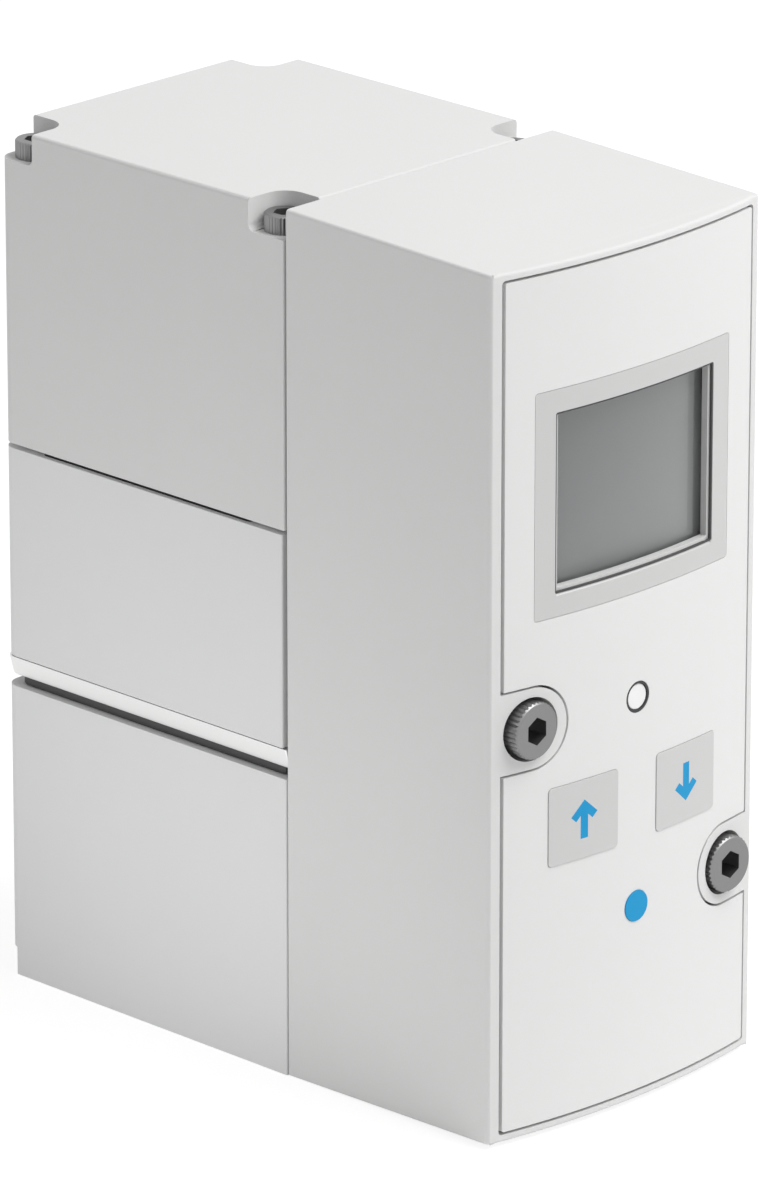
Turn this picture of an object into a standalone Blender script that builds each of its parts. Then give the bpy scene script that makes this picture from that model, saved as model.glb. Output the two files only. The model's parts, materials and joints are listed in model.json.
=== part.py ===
"""Electro pneumatic regulator: a stacked valve body with an electronics housing on its front.

X runs to the right, Y to the back and Z up. The origin is on the standing face, midway between the
front of the panel and the end of the plug connector. All sizes are real ones, in metres.
"""

import math

import bmesh
import bpy
from mathutils import Matrix, Vector

MM = 0.001

# Outer form
WIDTH = 45.0 * MM
HEIGHT = 108.0 * MM
SHELL_DEPTH = 33.0 * MM
BODY_DEPTH = 48.5 * MM
FRONT_BULGE = 2.4 * MM
REAR_CORNER_RADIUS = 2.2 * MM
FRONT_CORNER_RADIUS = 1.1 * MM
SEAM_CORNER_RADIUS = 0.5 * MM
EDGE_RADIUS = 0.4 * MM
TOP_DROP = 0.8 * MM
BOTTOM_RISE = 0.6 * MM
REBATE_DEPTH = 1.6 * MM
REBATE_HEIGHT = 3.5 * MM

# Levels of the stack
LOWER_TOP = HEIGHT * 0.3481
GASKET_HEIGHT = 1.1 * MM
PLATE_HEIGHT = 2.7 * MM
MIDDLE_HEIGHT = HEIGHT * 0.2463
PARTING_GAP = 0.4 * MM
GASKET_INSET = 1.1 * MM
PLATE_LEAN = 0.7 * MM

# Walls and clearances
WALL = 2.4 * MM
ROOF = 3.0 * MM
SEAT_GAP = 0.1 * MM
FIT_GAP = 0.15 * MM
SEAM_GAP = 0.15 * MM
MIDDLE_SETBACK = 0.3 * MM

# Ring seals of the top cover and of the shell
SEAL_OUT = 0.7 * MM
SEAL_IN = 1.9 * MM
SEAL_DEPTH = 1.0 * MM
SHELL_SEAL_OUT = 1.2 * MM
SHELL_SEAL_IN = 2.2 * MM
SHELL_SEAL_DEPTH = 1.0 * MM
SHELL_SEAL_CORNER = 0.8 * MM

# Cover screws, M3 with round socket heads sunk in the corners
COVER_SCREW_INSET = 3.3 * MM
POCKET_RADIUS = 2.85 * MM
POCKET_DEPTH = 2.7 * MM
COVER_HEAD_RADIUS = 2.5 * MM
COVER_HEAD_HEIGHT = 2.4 * MM
M3_RADIUS = 1.5 * MM
M3_BORE = 1.6 * MM
COVER_SCREW_GRIP = 7.7 * MM
CORNER_POST = 8.2 * MM
POST_CORNER = 0.6 * MM
M3_HEX_WIDTH = 2.5 * MM
M3_CHAMFER = 0.3 * MM

# Base screws, M3 from below
BASE_SCREW_GRIP = 4.0 * MM
BASE_HEAD_RADIUS = 2.75 * MM
BASE_HEAD_HEIGHT = 3.0 * MM
BASE_HEAD_SINK = 3.4 * MM
BASE_SCREW_FRONT = (10.5 * MM, 5.0 * MM)
BASE_SCREW_REAR = (3.9 * MM, 4.2 * MM)

# Front screws, M4 socket head, in posts of the shell
FRONT_SCREW_INSET = 5.8 * MM
LEFT_SCREW_Z = HEIGHT * 0.475
RIGHT_SCREW_Z = HEIGHT * 0.238
M4_RADIUS = 2.0 * MM
M4_BORE = 2.15 * MM
FRONT_HEAD_RADIUS = 3.5 * MM
FRONT_HEAD_HEIGHT = 4.0 * MM
FRONT_HEAD_PROUD = 2.1 * MM
FRONT_HEX_WIDTH = 3.0 * MM
M4_CHAMFER = 0.4 * MM
FRONT_POCKET_RADIUS = 4.0 * MM
FRONT_POST_RADIUS = 5.2 * MM
FRONT_SCREW_LENGTH = 45.0 * MM

# Front panel and what is set in it
RIM = 1.3 * MM
TOP_RIM = 0.9 * MM
PANEL_GAP = 0.35 * MM
PANEL_THICKNESS = 2.0 * MM
PANEL_CORNER = 1.0 * MM
LEDGE_WIDTH = 2.5 * MM
FRONT_WALL = 1.8 * MM
BEZEL_INSET = 6.2 * MM
BEZEL_WIDTH = WIDTH - 2 * BEZEL_INSET
BEZEL_Z = HEIGHT * 0.7231
BEZEL_DEPTH = 2.5 * MM
BEZEL_CORNER = 0.8 * MM
BEZEL_SIDE = 3.0 * MM
BEZEL_END = 2.8 * MM
WINDOW_WIDTH = BEZEL_WIDTH - 2 * BEZEL_SIDE
WINDOW_HEIGHT = 22.0 * MM
BEZEL_HEIGHT = WINDOW_HEIGHT + 2 * BEZEL_END
WINDOW_SINK = 1.3 * MM
WINDOW_CORNER = 0.5 * MM
LENS_THICKNESS = 0.9 * MM
LENS_LAP = 0.8 * MM
LAMP_Z = HEIGHT * 0.475
LAMP_RADIUS = 1.85 * MM
LAMP_GAP = 0.2 * MM
KEY_WIDTH = WIDTH * 0.24
KEY_HEIGHT = 9.7 * MM
KEY_X = WIDTH * 0.1933
KEY_CORNER = 0.5 * MM
KEY_LIP = 0.5 * MM
KEY_Z = HEIGHT * 0.3556
EDIT_KEY_RADIUS = 1.9 * MM
EDIT_KEY_Z = HEIGHT * 0.2333
KEY_GAP = 0.12 * MM
KEY_PROUD = 0.12 * MM
KEY_FLANGE = 0.7 * MM
KEY_TRAVEL = 0.35 * MM
KEY_STEM_RADIUS = 1.4 * MM
KEY_BACK = 1.6 * MM

# Boards and switches behind the panel
BOARD_THICKNESS = 1.6 * MM
BOARD_CORNER = 0.5 * MM
KEY_BOARD_INSET = 4.8 * MM
SWITCH_HEIGHT = 1.6 * MM
SWITCH_WIDTH = 4.2 * MM
SWITCH_SLACK = 0.1 * MM
DISPLAY_THICKNESS = 3.0 * MM
MAIN_BOARD_DEPTH = SHELL_DEPTH * 0.606
RAIL_HEIGHT = 7.0 * MM
RAIL_WIDTH = 1.8 * MM
RAIL_LAP = 0.4 * MM

# Regulating valve
PISTON_BORE = 13.0 * MM
PISTON_RADIUS = 12.8 * MM
PISTON_HEIGHT = 5.0 * MM
PISTON_SINK = 6.0 * MM
PISTON_SEAL_HEIGHT = 1.8 * MM
PISTON_SEAL_OUTER = 12.95 * MM
PISTON_SEAL_DEPTH = 1.65 * MM
PISTON_SEAL_BEND = 0.4 * MM
CHAMBER_BASE = 4.6 * MM
STEM_RADIUS = 2.0 * MM
STEM_FILLET = 1.5 * MM
STEM_HOLE = 1.0 * MM
STEM_BORE = 3.2 * MM
OUTLET_BORE = 7.0 * MM
OUTLET_FLOOR = 27.0 * MM
VALVE_SEAT = 24.0 * MM
SEAT_HOLE = 3.5 * MM
POPPET_BORE = 6.5 * MM
POPPET_RADIUS = 5.6 * MM
POPPET_THICKNESS = 2.4 * MM
POPPET_SEAL_HEIGHT = 1.2 * MM
POPPET_STEM = 1.4 * MM
POPPET_STEM_END = 6.5 * MM
VALVE_TRAVEL = 1.0 * MM
PLUG_RADIUS = 8.0 * MM
PLUG_SINK = 0.5 * MM
PLUG_TOP = 9.5 * MM
PLUG_GROOVE_LOW = 5.2 * MM
PLUG_GROOVE_HIGH = 7.2 * MM
PLUG_GROOVE_DEPTH = 1.5 * MM
PLUG_HEX_WIDTH = 5.0 * MM
PLUG_HEX_DEPTH = 2.5 * MM
SPRING_RADIUS = 3.2 * MM
SPRING_WIRE = 0.45 * MM
SPRING_TURNS = 5

# Ports, G1/8, and the M4 threads in the base
PORT_RADIUS = 4.4 * MM
PORT_DEPTH = 10.0 * MM
PORT_X = WIDTH * 0.2333
PORT_Z = 16.5 * MM
PORT_FACE_RADIUS = 7.2 * MM
PORT_FACE_DEPTH = 0.4 * MM
DUCT_RADIUS = 2.4 * MM
EXHAUST_RISE = 4.6 * MM
EXHAUST_FILTER_THICKNESS = 3.0 * MM
EXHAUST_FILTER_SINK = 5.4 * MM
MOUNT_THREAD_RADIUS = 1.65 * MM
MOUNT_THREAD_DEPTH = 7.0 * MM
MOUNT_THREAD_INSET = 7.5 * MM

# Pilot stage in the top cover
PILOT_BLOCK_INSET = 8.0 * MM
PILOT_BLOCK_WIDTH = WIDTH - 2 * PILOT_BLOCK_INSET
PILOT_BLOCK_DEPTH = BODY_DEPTH - 2 * PILOT_BLOCK_INSET
PILOT_BLOCK_HEIGHT = 8.0 * MM
PILOT_BLOCK_CORNER = 1.5 * MM
PILOT_BORE = 1.0 * MM
PILOT_VALVE_WIDTH = PILOT_BLOCK_WIDTH * 0.345
PILOT_VALVE_DEPTH = 12.0 * MM
PILOT_HEADROOM = 6.5 * MM
PILOT_VALVE_X = PILOT_BLOCK_WIDTH * 0.2276
PILOT_VALVE_Y = -7.0 * MM
PILOT_CAP_RADIUS = 3.4 * MM
PILOT_CAP_HEIGHT = 2.4 * MM
SENSOR_RADIUS = 4.0 * MM
SENSOR_CAP_RADIUS = 2.8 * MM
SENSOR_HEIGHT = 5.0 * MM
SENSOR_Y = 9.0 * MM
INNER_BOARD_INSET = 9.9 * MM
PIN_BOARD_BELOW = 9.0 * MM
HEADER_WIDTH = 14.0 * MM
HEADER_HEIGHT = 3.0 * MM

# Plug connector M12 on the back
CONNECTOR_LEVEL = 0.5455
CONNECTOR_REACH = 11.0 * MM
CONNECTOR_RADIUS = 6.0 * MM
CONNECTOR_BORE = 4.8 * MM
CONNECTOR_COLLAR = 8.2 * MM
COLLAR_THICKNESS = 2.2 * MM
COLLAR_CHAMFER = 0.6 * MM
NUT_WIDTH = 15.0 * MM
NUT_THICKNESS = 2.4 * MM
INSERT_RADIUS = 4.65 * MM
INSERT_FRONT = 3.0 * MM
PIN_RADIUS = 0.5 * MM
PIN_CIRCLE = 2.75 * MM
PIN_END = 9.0 * MM
PIN_COUNT = 5
PIN_BOARD_SINK = 8.4 * MM

# Places that follow from the sizes above
TOTAL_DEPTH = FRONT_BULGE + SHELL_DEPTH + BODY_DEPTH + CONNECTOR_REACH
FRONT = FRONT_BULGE - TOTAL_DEPTH / 2
SEAM = FRONT + SHELL_DEPTH
REAR = SEAM + BODY_DEPTH
VALVE_Y = (SEAM + REAR) / 2
HALF_WIDTH = WIDTH / 2
GASKET_TOP = LOWER_TOP + GASKET_HEIGHT
MIDDLE_BOTTOM = GASKET_TOP + PLATE_HEIGHT
MIDDLE_TOP = MIDDLE_BOTTOM + MIDDLE_HEIGHT
COVER_BOTTOM = MIDDLE_TOP + PARTING_GAP
FRONT_ARC_RADIUS = (HALF_WIDTH**2 + FRONT_BULGE**2) / (2 * FRONT_BULGE)
FRONT_ARC_CENTRE = FRONT - FRONT_BULGE + FRONT_ARC_RADIUS
SHELL_WALL_BACK = FRONT + PANEL_THICKNESS + SEAT_GAP + FRONT_WALL
KEY_BOARD_Y = SHELL_WALL_BACK + 2 * FIT_GAP
KEY_BOARD_WIDTH = WIDTH - 2 * KEY_BOARD_INSET
FRONT_SCREW_X = HALF_WIDTH - FRONT_SCREW_INSET
COVER_SCREW_LENGTH = HEIGHT - POCKET_DEPTH - MIDDLE_TOP + COVER_SCREW_GRIP
BASE_SCREW_LENGTH = MIDDLE_BOTTOM - BASE_HEAD_SINK + BASE_SCREW_GRIP
CHAMBER_FLOOR = MIDDLE_BOTTOM + CHAMBER_BASE
PISTON_TOP = MIDDLE_TOP - PISTON_SINK
EXHAUST_Z = CHAMBER_FLOOR + EXHAUST_RISE
CONNECTOR_Z = COVER_BOTTOM + (HEIGHT - COVER_BOTTOM) * CONNECTOR_LEVEL
INNER_BOARD_WIDTH = WIDTH - 2 * INNER_BOARD_INSET
MAIN_BOARD_Y = FRONT + MAIN_BOARD_DEPTH
PILOT_BLOCK_TOP = MIDDLE_TOP + SEAT_GAP + PILOT_BLOCK_HEIGHT
PILOT_VALVE_TOP = HEIGHT - ROOF - PILOT_HEADROOM - BOARD_THICKNESS - FIT_GAP
PILOT_VALVE_HEIGHT = PILOT_VALVE_TOP - PILOT_CAP_HEIGHT - PILOT_BLOCK_TOP - SEAT_GAP
VALVE_BOARD_Z = PILOT_VALVE_TOP + FIT_GAP
PIN_BOARD_Y = REAR - PIN_BOARD_SINK
SPRING_BOTTOM = PLUG_TOP + FIT_GAP
POPPET_TOP = VALVE_SEAT - 2 * FIT_GAP - POPPET_SEAL_HEIGHT
SPRING_TOP = POPPET_TOP - POPPET_THICKNESS - FIT_GAP

FAR = 2 * HEIGHT
OVERSHOOT = 1.0 * MM
SMALL_RADIUS = 0.8 * MM
ROUND_STEPS = 24
PISTON_STEPS = 30
SCREW_STEPS = 14
PORT_STEPS = 22
SMALL_STEPS = 10
POST_STEPS = 14
POCKET_STEPS = 8
FRONT_STEPS = 12
PIN_STEPS = 8
SPRING_STEPS = 9


def start_scene():
    """Removes what a new file holds and makes the two collections."""
    for thing in list(bpy.data.objects):
        bpy.data.objects.remove(thing)
    for label in ("electro_pneumatic_regulator", "cutters"):
        kept = bpy.data.collections.new(label)
        bpy.context.scene.collection.children.link(kept)


def finish_of(label, colour, roughness, metallic=0.0, alpha=1.0):
    """A Principled material with one colour."""
    finish = bpy.data.materials.new(label)
    finish.use_nodes = True
    shader = finish.node_tree.nodes["Principled BSDF"]
    shader.inputs["Base Color"].default_value = (*colour, 1.0)
    shader.inputs["Roughness"].default_value = roughness
    shader.inputs["Metallic"].default_value = metallic
    shader.inputs["Alpha"].default_value = alpha
    finish.diffuse_color = (*colour, alpha)
    return finish


def place_piece(name, mesh, finish, location=(0, 0, 0), turn=None):
    """Links a mesh as a piece of the regulator, or as a helper when it has no finish."""
    piece = bpy.data.objects.new(name, mesh)
    matrix = Matrix.Translation(Vector(location))
    if turn is not None:
        matrix = matrix @ turn
    piece.matrix_world = matrix
    if finish is None:
        bpy.data.collections["cutters"].objects.link(piece)
        piece.hide_render = True
        piece.display_type = "WIRE"
    else:
        bpy.data.collections["electro_pneumatic_regulator"].objects.link(piece)
        mesh.materials.append(finish)
    return piece


def turn_to(axis):
    """The turn that takes the +Z of a turned piece, or the thickness of an outline, to an axis."""
    if axis == "X":
        return Matrix(((0, 0, 1, 0), (1, 0, 0, 0), (0, 1, 0, 0), (0, 0, 0, 1)))
    if axis == "Y":
        return Matrix.Rotation(math.radians(90), 4, "X")
    return Matrix.Identity(4)


def soften(piece, width=EDGE_RADIUS):
    """Rounds every edge sharper than the steps of a round side."""
    bevel = piece.modifiers.new("edges", "BEVEL")
    bevel.width = width
    bevel.segments = 1
    bevel.limit_method = "ANGLE"
    bevel.angle_limit = math.radians(40)
    return piece


def cut(piece, *cutters):
    """Takes each cutter out of the piece."""
    for cutter in cutters:
        step = piece.modifiers.new("cut", "BOOLEAN")
        step.operation = "DIFFERENCE"
        step.object = cutter
    return piece


def join(piece, *others):
    """Adds each helper to the piece."""
    for other in others:
        step = piece.modifiers.new("join", "BOOLEAN")
        step.operation = "UNION"
        step.object = other
    return piece


def keep(piece, shape):
    """Leaves of the piece only what lies inside the shape."""
    step = piece.modifiers.new("keep", "BOOLEAN")
    step.operation = "INTERSECT"
    step.object = shape
    return piece


def block(name, low, high, finish=None):
    """A box between two corners."""
    low, high = Vector(low), Vector(high)
    form = bmesh.new()
    bmesh.ops.create_cube(form, size=1.0)
    bmesh.ops.scale(form, vec=high - low, verts=form.verts)
    mesh = bpy.data.meshes.new(name)
    form.to_mesh(mesh)
    form.free()
    return place_piece(name, mesh, finish, (low + high) / 2)


def rod(name, start, end, radius, finish=None, sides=ROUND_STEPS):
    """A round bar between two points."""
    start, end = Vector(start), Vector(end)
    form = bmesh.new()
    bmesh.ops.create_cone(
        form, cap_ends=True, segments=sides, radius1=radius, radius2=radius, depth=(end - start).length
    )
    mesh = bpy.data.meshes.new(name)
    form.to_mesh(mesh)
    form.free()
    mesh.shade_smooth()
    turn = (end - start).to_track_quat("Z", "Y").to_matrix().to_4x4()
    return place_piece(name, mesh, finish, (start + end) / 2, turn)


def outline_solid(name, outlines, low, high, finish=None, axis="Z"):
    """A flat outline, with any holes, thickened from low to high along an axis.

    The outline's two coordinates are X and Y for axis Z, X and Z for axis Y, and Y and Z for axis X.
    """
    curve = bpy.data.curves.new(name, "CURVE")
    curve.dimensions = "2D"
    curve.fill_mode = "BOTH"
    curve.extrude = (high - low) / 2
    for outline in outlines:
        spline = curve.splines.new("POLY")
        spline.points.add(len(outline) - 1)
        for point, (u, v) in zip(spline.points, outline):
            point.co = (u, v, 0, 1)
        spline.use_cyclic_u = True
    drawn = bpy.data.objects.new(name + "_outline", curve)
    bpy.context.scene.collection.objects.link(drawn)
    graph = bpy.context.evaluated_depsgraph_get()
    mesh = bpy.data.meshes.new_from_object(drawn.evaluated_get(graph))
    bpy.data.objects.remove(drawn)
    form = bmesh.new()
    form.from_mesh(mesh)
    bmesh.ops.remove_doubles(form, verts=form.verts, dist=0.0001 * MM)
    bmesh.ops.recalc_face_normals(form, faces=form.faces)
    form.to_mesh(mesh)
    form.free()
    middle = (low + high) / 2
    location = {"X": (middle, 0, 0), "Y": (0, middle, 0), "Z": (0, 0, middle)}[axis]
    return place_piece(name, mesh, finish, location, turn_to(axis))


def turned(name, profile, location, finish=None, axis="Z", ring=False, steps=ROUND_STEPS):
    """A turned piece. The profile is (radius, height) points, down its outer side from the top."""
    mesh = bpy.data.meshes.new(name)
    count = len(profile)
    edges = [(i, i + 1) for i in range(count - 1)]
    if ring:
        edges.append((count - 1, 0))
    mesh.from_pydata([(radius, 0, height) for radius, height in profile], edges, [])
    piece = place_piece(name, mesh, finish, location, turn_to(axis))
    spin = piece.modifiers.new("spin", "SCREW")
    spin.axis = "Z"
    spin.angle = math.tau
    spin.steps = steps
    spin.render_steps = steps
    spin.use_merge_vertices = True
    spin.merge_threshold = 0.001 * MM
    spin.use_smooth_shade = True
    return piece


def circle(x, y, radius, sides=ROUND_STEPS):
    """Points of a round hole or disc."""
    return [
        (x + radius * math.cos(math.tau * i / sides), y + radius * math.sin(math.tau * i / sides))
        for i in range(sides)
    ]


def arc_steps(radius):
    """Steps of a rounded corner: few on a small one."""
    if radius <= SMALL_RADIUS:
        return 2
    return 3 if radius <= 2 * SMALL_RADIUS else 5


def filleted(corners):
    """The outline through (x, y, radius) corners, each rounded by an arc of its radius."""
    outline = []
    count = len(corners)
    for i, (x, y, radius) in enumerate(corners):
        corner = Vector((x, y))
        if radius <= 0:
            outline.append((x, y))
            continue
        before = (Vector(corners[i - 1][:2]) - corner).normalized()
        after = (Vector(corners[(i + 1) % count][:2]) - corner).normalized()
        half = before.angle(after) / 2
        centre = corner + (before + after).normalized() * radius / math.sin(half)
        first = corner + before * radius / math.tan(half) - centre
        last = corner + after * radius / math.tan(half) - centre
        sweep = first.angle_signed(last)
        steps = arc_steps(radius)
        for step in range(steps + 1):
            spoke = first.copy()
            spoke.rotate(Matrix.Rotation(-sweep * step / steps, 2))
            outline.append(tuple(centre + spoke))
    return outline


def rectangle(left, right, near, far, radius=0.0):
    """A rectangle with equal corner radii."""
    corners = ((left, near), (right, near), (right, far), (left, far))
    return filleted([(x, y, radius) for x, y in corners])


def body_outline(inset=0.0, setback=0.0):
    """Plan of the stacked body, drawn in from its outer faces by inset."""
    side = HALF_WIDTH - inset
    near = SEAM + SEAM_GAP + setback + inset
    far = REAR - inset
    return filleted(
        [
            (-side, near, SEAM_CORNER_RADIUS),
            (side, near, SEAM_CORNER_RADIUS),
            (side, far, REAR_CORNER_RADIUS),
            (-side, far, REAR_CORNER_RADIUS),
        ]
    )


def posted_outline(inset, post):
    """Plan of the space inside the walls, stepped in at each corner to leave a screw post."""
    x, y_near, y_far = HALF_WIDTH - inset, SEAM + SEAM_GAP + inset, REAR - inset
    px, p_near, p_far = HALF_WIDTH - post, SEAM + SEAM_GAP + post, REAR - post
    corners = (
        (-px, y_near),
        (px, y_near),
        (px, p_near),
        (x, p_near),
        (x, p_far),
        (px, p_far),
        (px, y_far),
        (-px, y_far),
        (-px, p_far),
        (-x, p_far),
        (-x, p_near),
        (-px, p_near),
    )
    return filleted([(u, v, POST_CORNER) for u, v in corners])


def front_y(x, depth=0.0):
    """Y of the bulged front, or of a surface that lies depth behind it."""
    return FRONT_ARC_CENTRE - math.sqrt((FRONT_ARC_RADIUS - depth) ** 2 - x**2)


def front_arc(left, right, depth=0.0, steps=FRONT_STEPS):
    """Points of the bulged front from left to right."""
    return [
        (left + (right - left) * i / steps, front_y(left + (right - left) * i / steps, depth))
        for i in range(steps + 1)
    ]


def front_band(name, half, outer, inner, low, high):
    """Helper: a curved sheet that follows the front, between two depths behind it."""
    near = front_arc(-half, half, outer)
    far = front_arc(half, -half, inner)
    return outline_solid(name, [near + far], low, high)


def corner_signs():
    """The four corners of the body as signs of X and ends in Y."""
    return [(sx, end) for end in ("front", "rear") for sx in (-1, 1)]


def corner_point(sx, end, inset_x, inset_y):
    """A point set in from one corner of the body."""
    if end == "front":
        return sx * (HALF_WIDTH - inset_x), SEAM + inset_y
    return sx * (HALF_WIDTH - inset_x), REAR - inset_y


def cover_screw_points():
    return [corner_point(sx, end, COVER_SCREW_INSET, COVER_SCREW_INSET) for sx, end in corner_signs()]


def base_screw_points():
    points = []
    for sx, end in corner_signs():
        points.append(corner_point(sx, end, *(BASE_SCREW_FRONT if end == "front" else BASE_SCREW_REAR)))
    return points


def front_screw_places():
    return {"left": (-FRONT_SCREW_X, LEFT_SCREW_Z), "right": (FRONT_SCREW_X, RIGHT_SCREW_Z)}


def front_post(name, side, radius):
    """Helper: the post round a front screw, open to the side wall next to it."""
    x, z = front_screw_places()[side]
    sign = math.copysign(1, x)
    wall = sign * (HALF_WIDTH + OVERSHOOT)
    turns = [math.pi * i / POST_STEPS for i in range(POST_STEPS + 1)]
    half_turn = [(x - sign * radius * math.sin(turn), z + radius * math.cos(turn)) for turn in turns]
    outline = [(wall, z + radius)] + half_turn + [(wall, z - radius)]
    return outline_solid(name, [outline], FRONT - FAR / 4, REAR, axis="Y")


def lower_block(finish):
    """Cast base block with the ports, the valve seat and the threads that hold the stack."""
    piece = outline_solid("lower_block", [body_outline()], 0, LOWER_TOP, finish)
    soften(piece)
    cut(
        piece,
        block(
            "rebate_cutter",
            (-WIDTH, REAR - REBATE_DEPTH, -OVERSHOOT),
            (WIDTH, REAR + OVERSHOOT, REBATE_HEIGHT),
        ),
        turned(
            "valve_bore_cutter",
            [
                (0, LOWER_TOP + OVERSHOOT),
                (OUTLET_BORE, LOWER_TOP + OVERSHOOT),
                (OUTLET_BORE, OUTLET_FLOOR),
                (SEAT_HOLE, OUTLET_FLOOR),
                (SEAT_HOLE, VALVE_SEAT),
                (POPPET_BORE, VALVE_SEAT),
                (POPPET_BORE, PLUG_TOP + SEAT_GAP),
                (PLUG_RADIUS + SEAT_GAP, PLUG_TOP + SEAT_GAP),
                (PLUG_RADIUS + SEAT_GAP, -OVERSHOOT),
                (0, -OVERSHOOT),
            ],
            (0, VALVE_Y, 0),
        ),
    )
    for side, sign, duct_z in (("supply", -1, PORT_Z), ("outlet", 1, (OUTLET_FLOOR + LOWER_TOP) / 2)):
        floor = (sign * PORT_X, REAR - PORT_DEPTH + OVERSHOOT, PORT_Z)
        cut(
            piece,
            port_cutter(side + "_port_cutter", (sign * PORT_X, REAR, PORT_Z), "Y"),
            rod(side + "_duct_cutter", floor, (0, VALVE_Y, duct_z), DUCT_RADIUS, sides=SMALL_STEPS),
        )
    for i, (x, y) in enumerate(base_screw_points()):
        cut(
            piece,
            turned(
                f"base_screw_cutter_{i}",
                [
                    (0, LOWER_TOP + OVERSHOOT),
                    (M3_BORE, LOWER_TOP + OVERSHOOT),
                    (M3_BORE, BASE_HEAD_SINK),
                    (BASE_HEAD_RADIUS + FIT_GAP, BASE_HEAD_SINK),
                    (BASE_HEAD_RADIUS + FIT_GAP, -OVERSHOOT),
                    (0, -OVERSHOOT),
                ],
                (x, y, 0),
                steps=SCREW_STEPS,
            ),
        )
    for end, y in (("front", SEAM + MOUNT_THREAD_INSET), ("rear", REAR - MOUNT_THREAD_INSET)):
        cut(
            piece,
            rod(
                end + "_mount_thread_cutter",
                (0, y, -OVERSHOOT),
                (0, y, MOUNT_THREAD_DEPTH),
                MOUNT_THREAD_RADIUS,
                sides=SMALL_STEPS,
            ),
        )
    cut(piece, front_thread_cutter("right"))
    return piece


def port_cutter(name, mouth, axis):
    """Cutter of a G1/8 port with a flat sealing face round it. The mouth looks along the axis."""
    outward = {"X": Vector((1, 0, 0)), "Y": Vector((0, 1, 0))}[axis]
    mouth = Vector(mouth)
    bore = rod(name, mouth - outward * PORT_DEPTH, mouth + outward * OVERSHOOT, PORT_RADIUS, sides=PORT_STEPS)
    face = rod(
        name + "_face",
        mouth - outward * PORT_FACE_DEPTH,
        mouth + outward * OVERSHOOT * 2,
        PORT_FACE_RADIUS,
        sides=PORT_STEPS,
    )
    return join(bore, face)


def front_thread_cutter(side):
    """Cutter of the blind hole that a front screw runs into."""
    x, z = front_screw_places()[side]
    end = front_screw_end() + FIT_GAP * 2
    return rod(side + "_thread_cutter", (x, SEAM - OVERSHOOT, z), (x, end, z), M4_BORE, sides=SCREW_STEPS)


def front_screw_end():
    """Y of a front screw's tip."""
    return FRONT - FRONT_HEAD_PROUD + FRONT_HEAD_HEIGHT + FRONT_SCREW_LENGTH


def base_gasket(finish):
    """Flat seal between the base block and the plate above it, set in from the sides."""
    return outline_solid(
        "base_gasket",
        [body_outline(GASKET_INSET), circle(0, VALVE_Y, OUTLET_BORE)]
        + [circle(x, y, M3_BORE, SMALL_STEPS) for x, y in base_screw_points()],
        LOWER_TOP + SEAT_GAP,
        GASKET_TOP,
        finish,
    )


def intermediate_plate(finish):
    """Bright plate whose sides lean outwards to the block above."""
    piece = outline_solid(
        "intermediate_plate",
        [body_outline(), circle(0, VALVE_Y, OUTLET_BORE)],
        GASKET_TOP + SEAT_GAP,
        MIDDLE_BOTTOM - SEAT_GAP,
        finish,
    )
    for i, (x, y) in enumerate(base_screw_points()):
        cut(piece, thread_cutter(f"plate_bore_cutter_{i}", x, y, LOWER_TOP, MIDDLE_BOTTOM + OVERSHOOT))
    lean = PLATE_HEIGHT - 2 * SEAT_GAP
    rise = OVERSHOOT / lean
    for sign, label in ((-1, "left"), (1, "right")):
        outer = sign * HALF_WIDTH
        outline = [
            (outer - sign * PLATE_LEAN * (1 + rise), GASKET_TOP + SEAT_GAP - OVERSHOOT),
            (outer + sign * PLATE_LEAN * rise, MIDDLE_BOTTOM - SEAT_GAP + OVERSHOOT),
            (outer + sign * WALL, MIDDLE_BOTTOM - SEAT_GAP + OVERSHOOT),
            (outer + sign * WALL, GASKET_TOP + SEAT_GAP - OVERSHOOT),
        ]
        cut(
            piece,
            outline_solid(
                label + "_lean_cutter", [outline], SEAM - OVERSHOOT, REAR + OVERSHOOT, axis="Y"
            ),
        )
    return piece


def seal_track(width_in, width_out):
    """Outer and inner line of the ring that seals the top cover, inside its wall."""
    return [
        posted_outline(width, CORNER_POST - WALL + width) for width in (width_out, width_in)
    ]


def middle_block(finish):
    """Cast block with the piston chamber, the exhaust port and the threads of the cover screws."""
    piece = outline_solid(
        "middle_block", [body_outline(0, MIDDLE_SETBACK)], MIDDLE_BOTTOM, MIDDLE_TOP, finish
    )
    soften(piece)
    cut(
        piece,
        turned(
            "piston_bore_cutter",
            [
                (0, MIDDLE_TOP + OVERSHOOT),
                (PISTON_BORE, MIDDLE_TOP + OVERSHOOT),
                (PISTON_BORE, CHAMBER_FLOOR),
                (STEM_BORE, CHAMBER_FLOOR),
                (STEM_BORE, MIDDLE_BOTTOM - OVERSHOOT),
                (0, MIDDLE_BOTTOM - OVERSHOOT),
            ],
            (0, VALVE_Y, 0),
            steps=PISTON_STEPS,
        ),
        port_cutter("exhaust_port_cutter", (HALF_WIDTH, VALVE_Y, EXHAUST_Z), "X"),
        outline_solid(
            "seal_groove_cutter",
            seal_track(SEAL_IN + SEAT_GAP, SEAL_OUT - SEAT_GAP),
            MIDDLE_TOP - SEAL_DEPTH,
            MIDDLE_TOP + OVERSHOOT,
        ),
        front_thread_cutter("left"),
    )
    for i, (x, y) in enumerate(cover_screw_points()):
        end = cover_screw_seat() - COVER_SCREW_LENGTH - FIT_GAP * 2
        cut(piece, thread_cutter(f"cover_thread_cutter_{i}", x, y, end, MIDDLE_TOP + OVERSHOOT))
    for i, (x, y) in enumerate(base_screw_points()):
        end = BASE_HEAD_SINK + BASE_SCREW_LENGTH + FIT_GAP * 2
        cut(piece, thread_cutter(f"base_thread_cutter_{i}", x, y, MIDDLE_BOTTOM - OVERSHOOT, end))
    return piece


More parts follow.
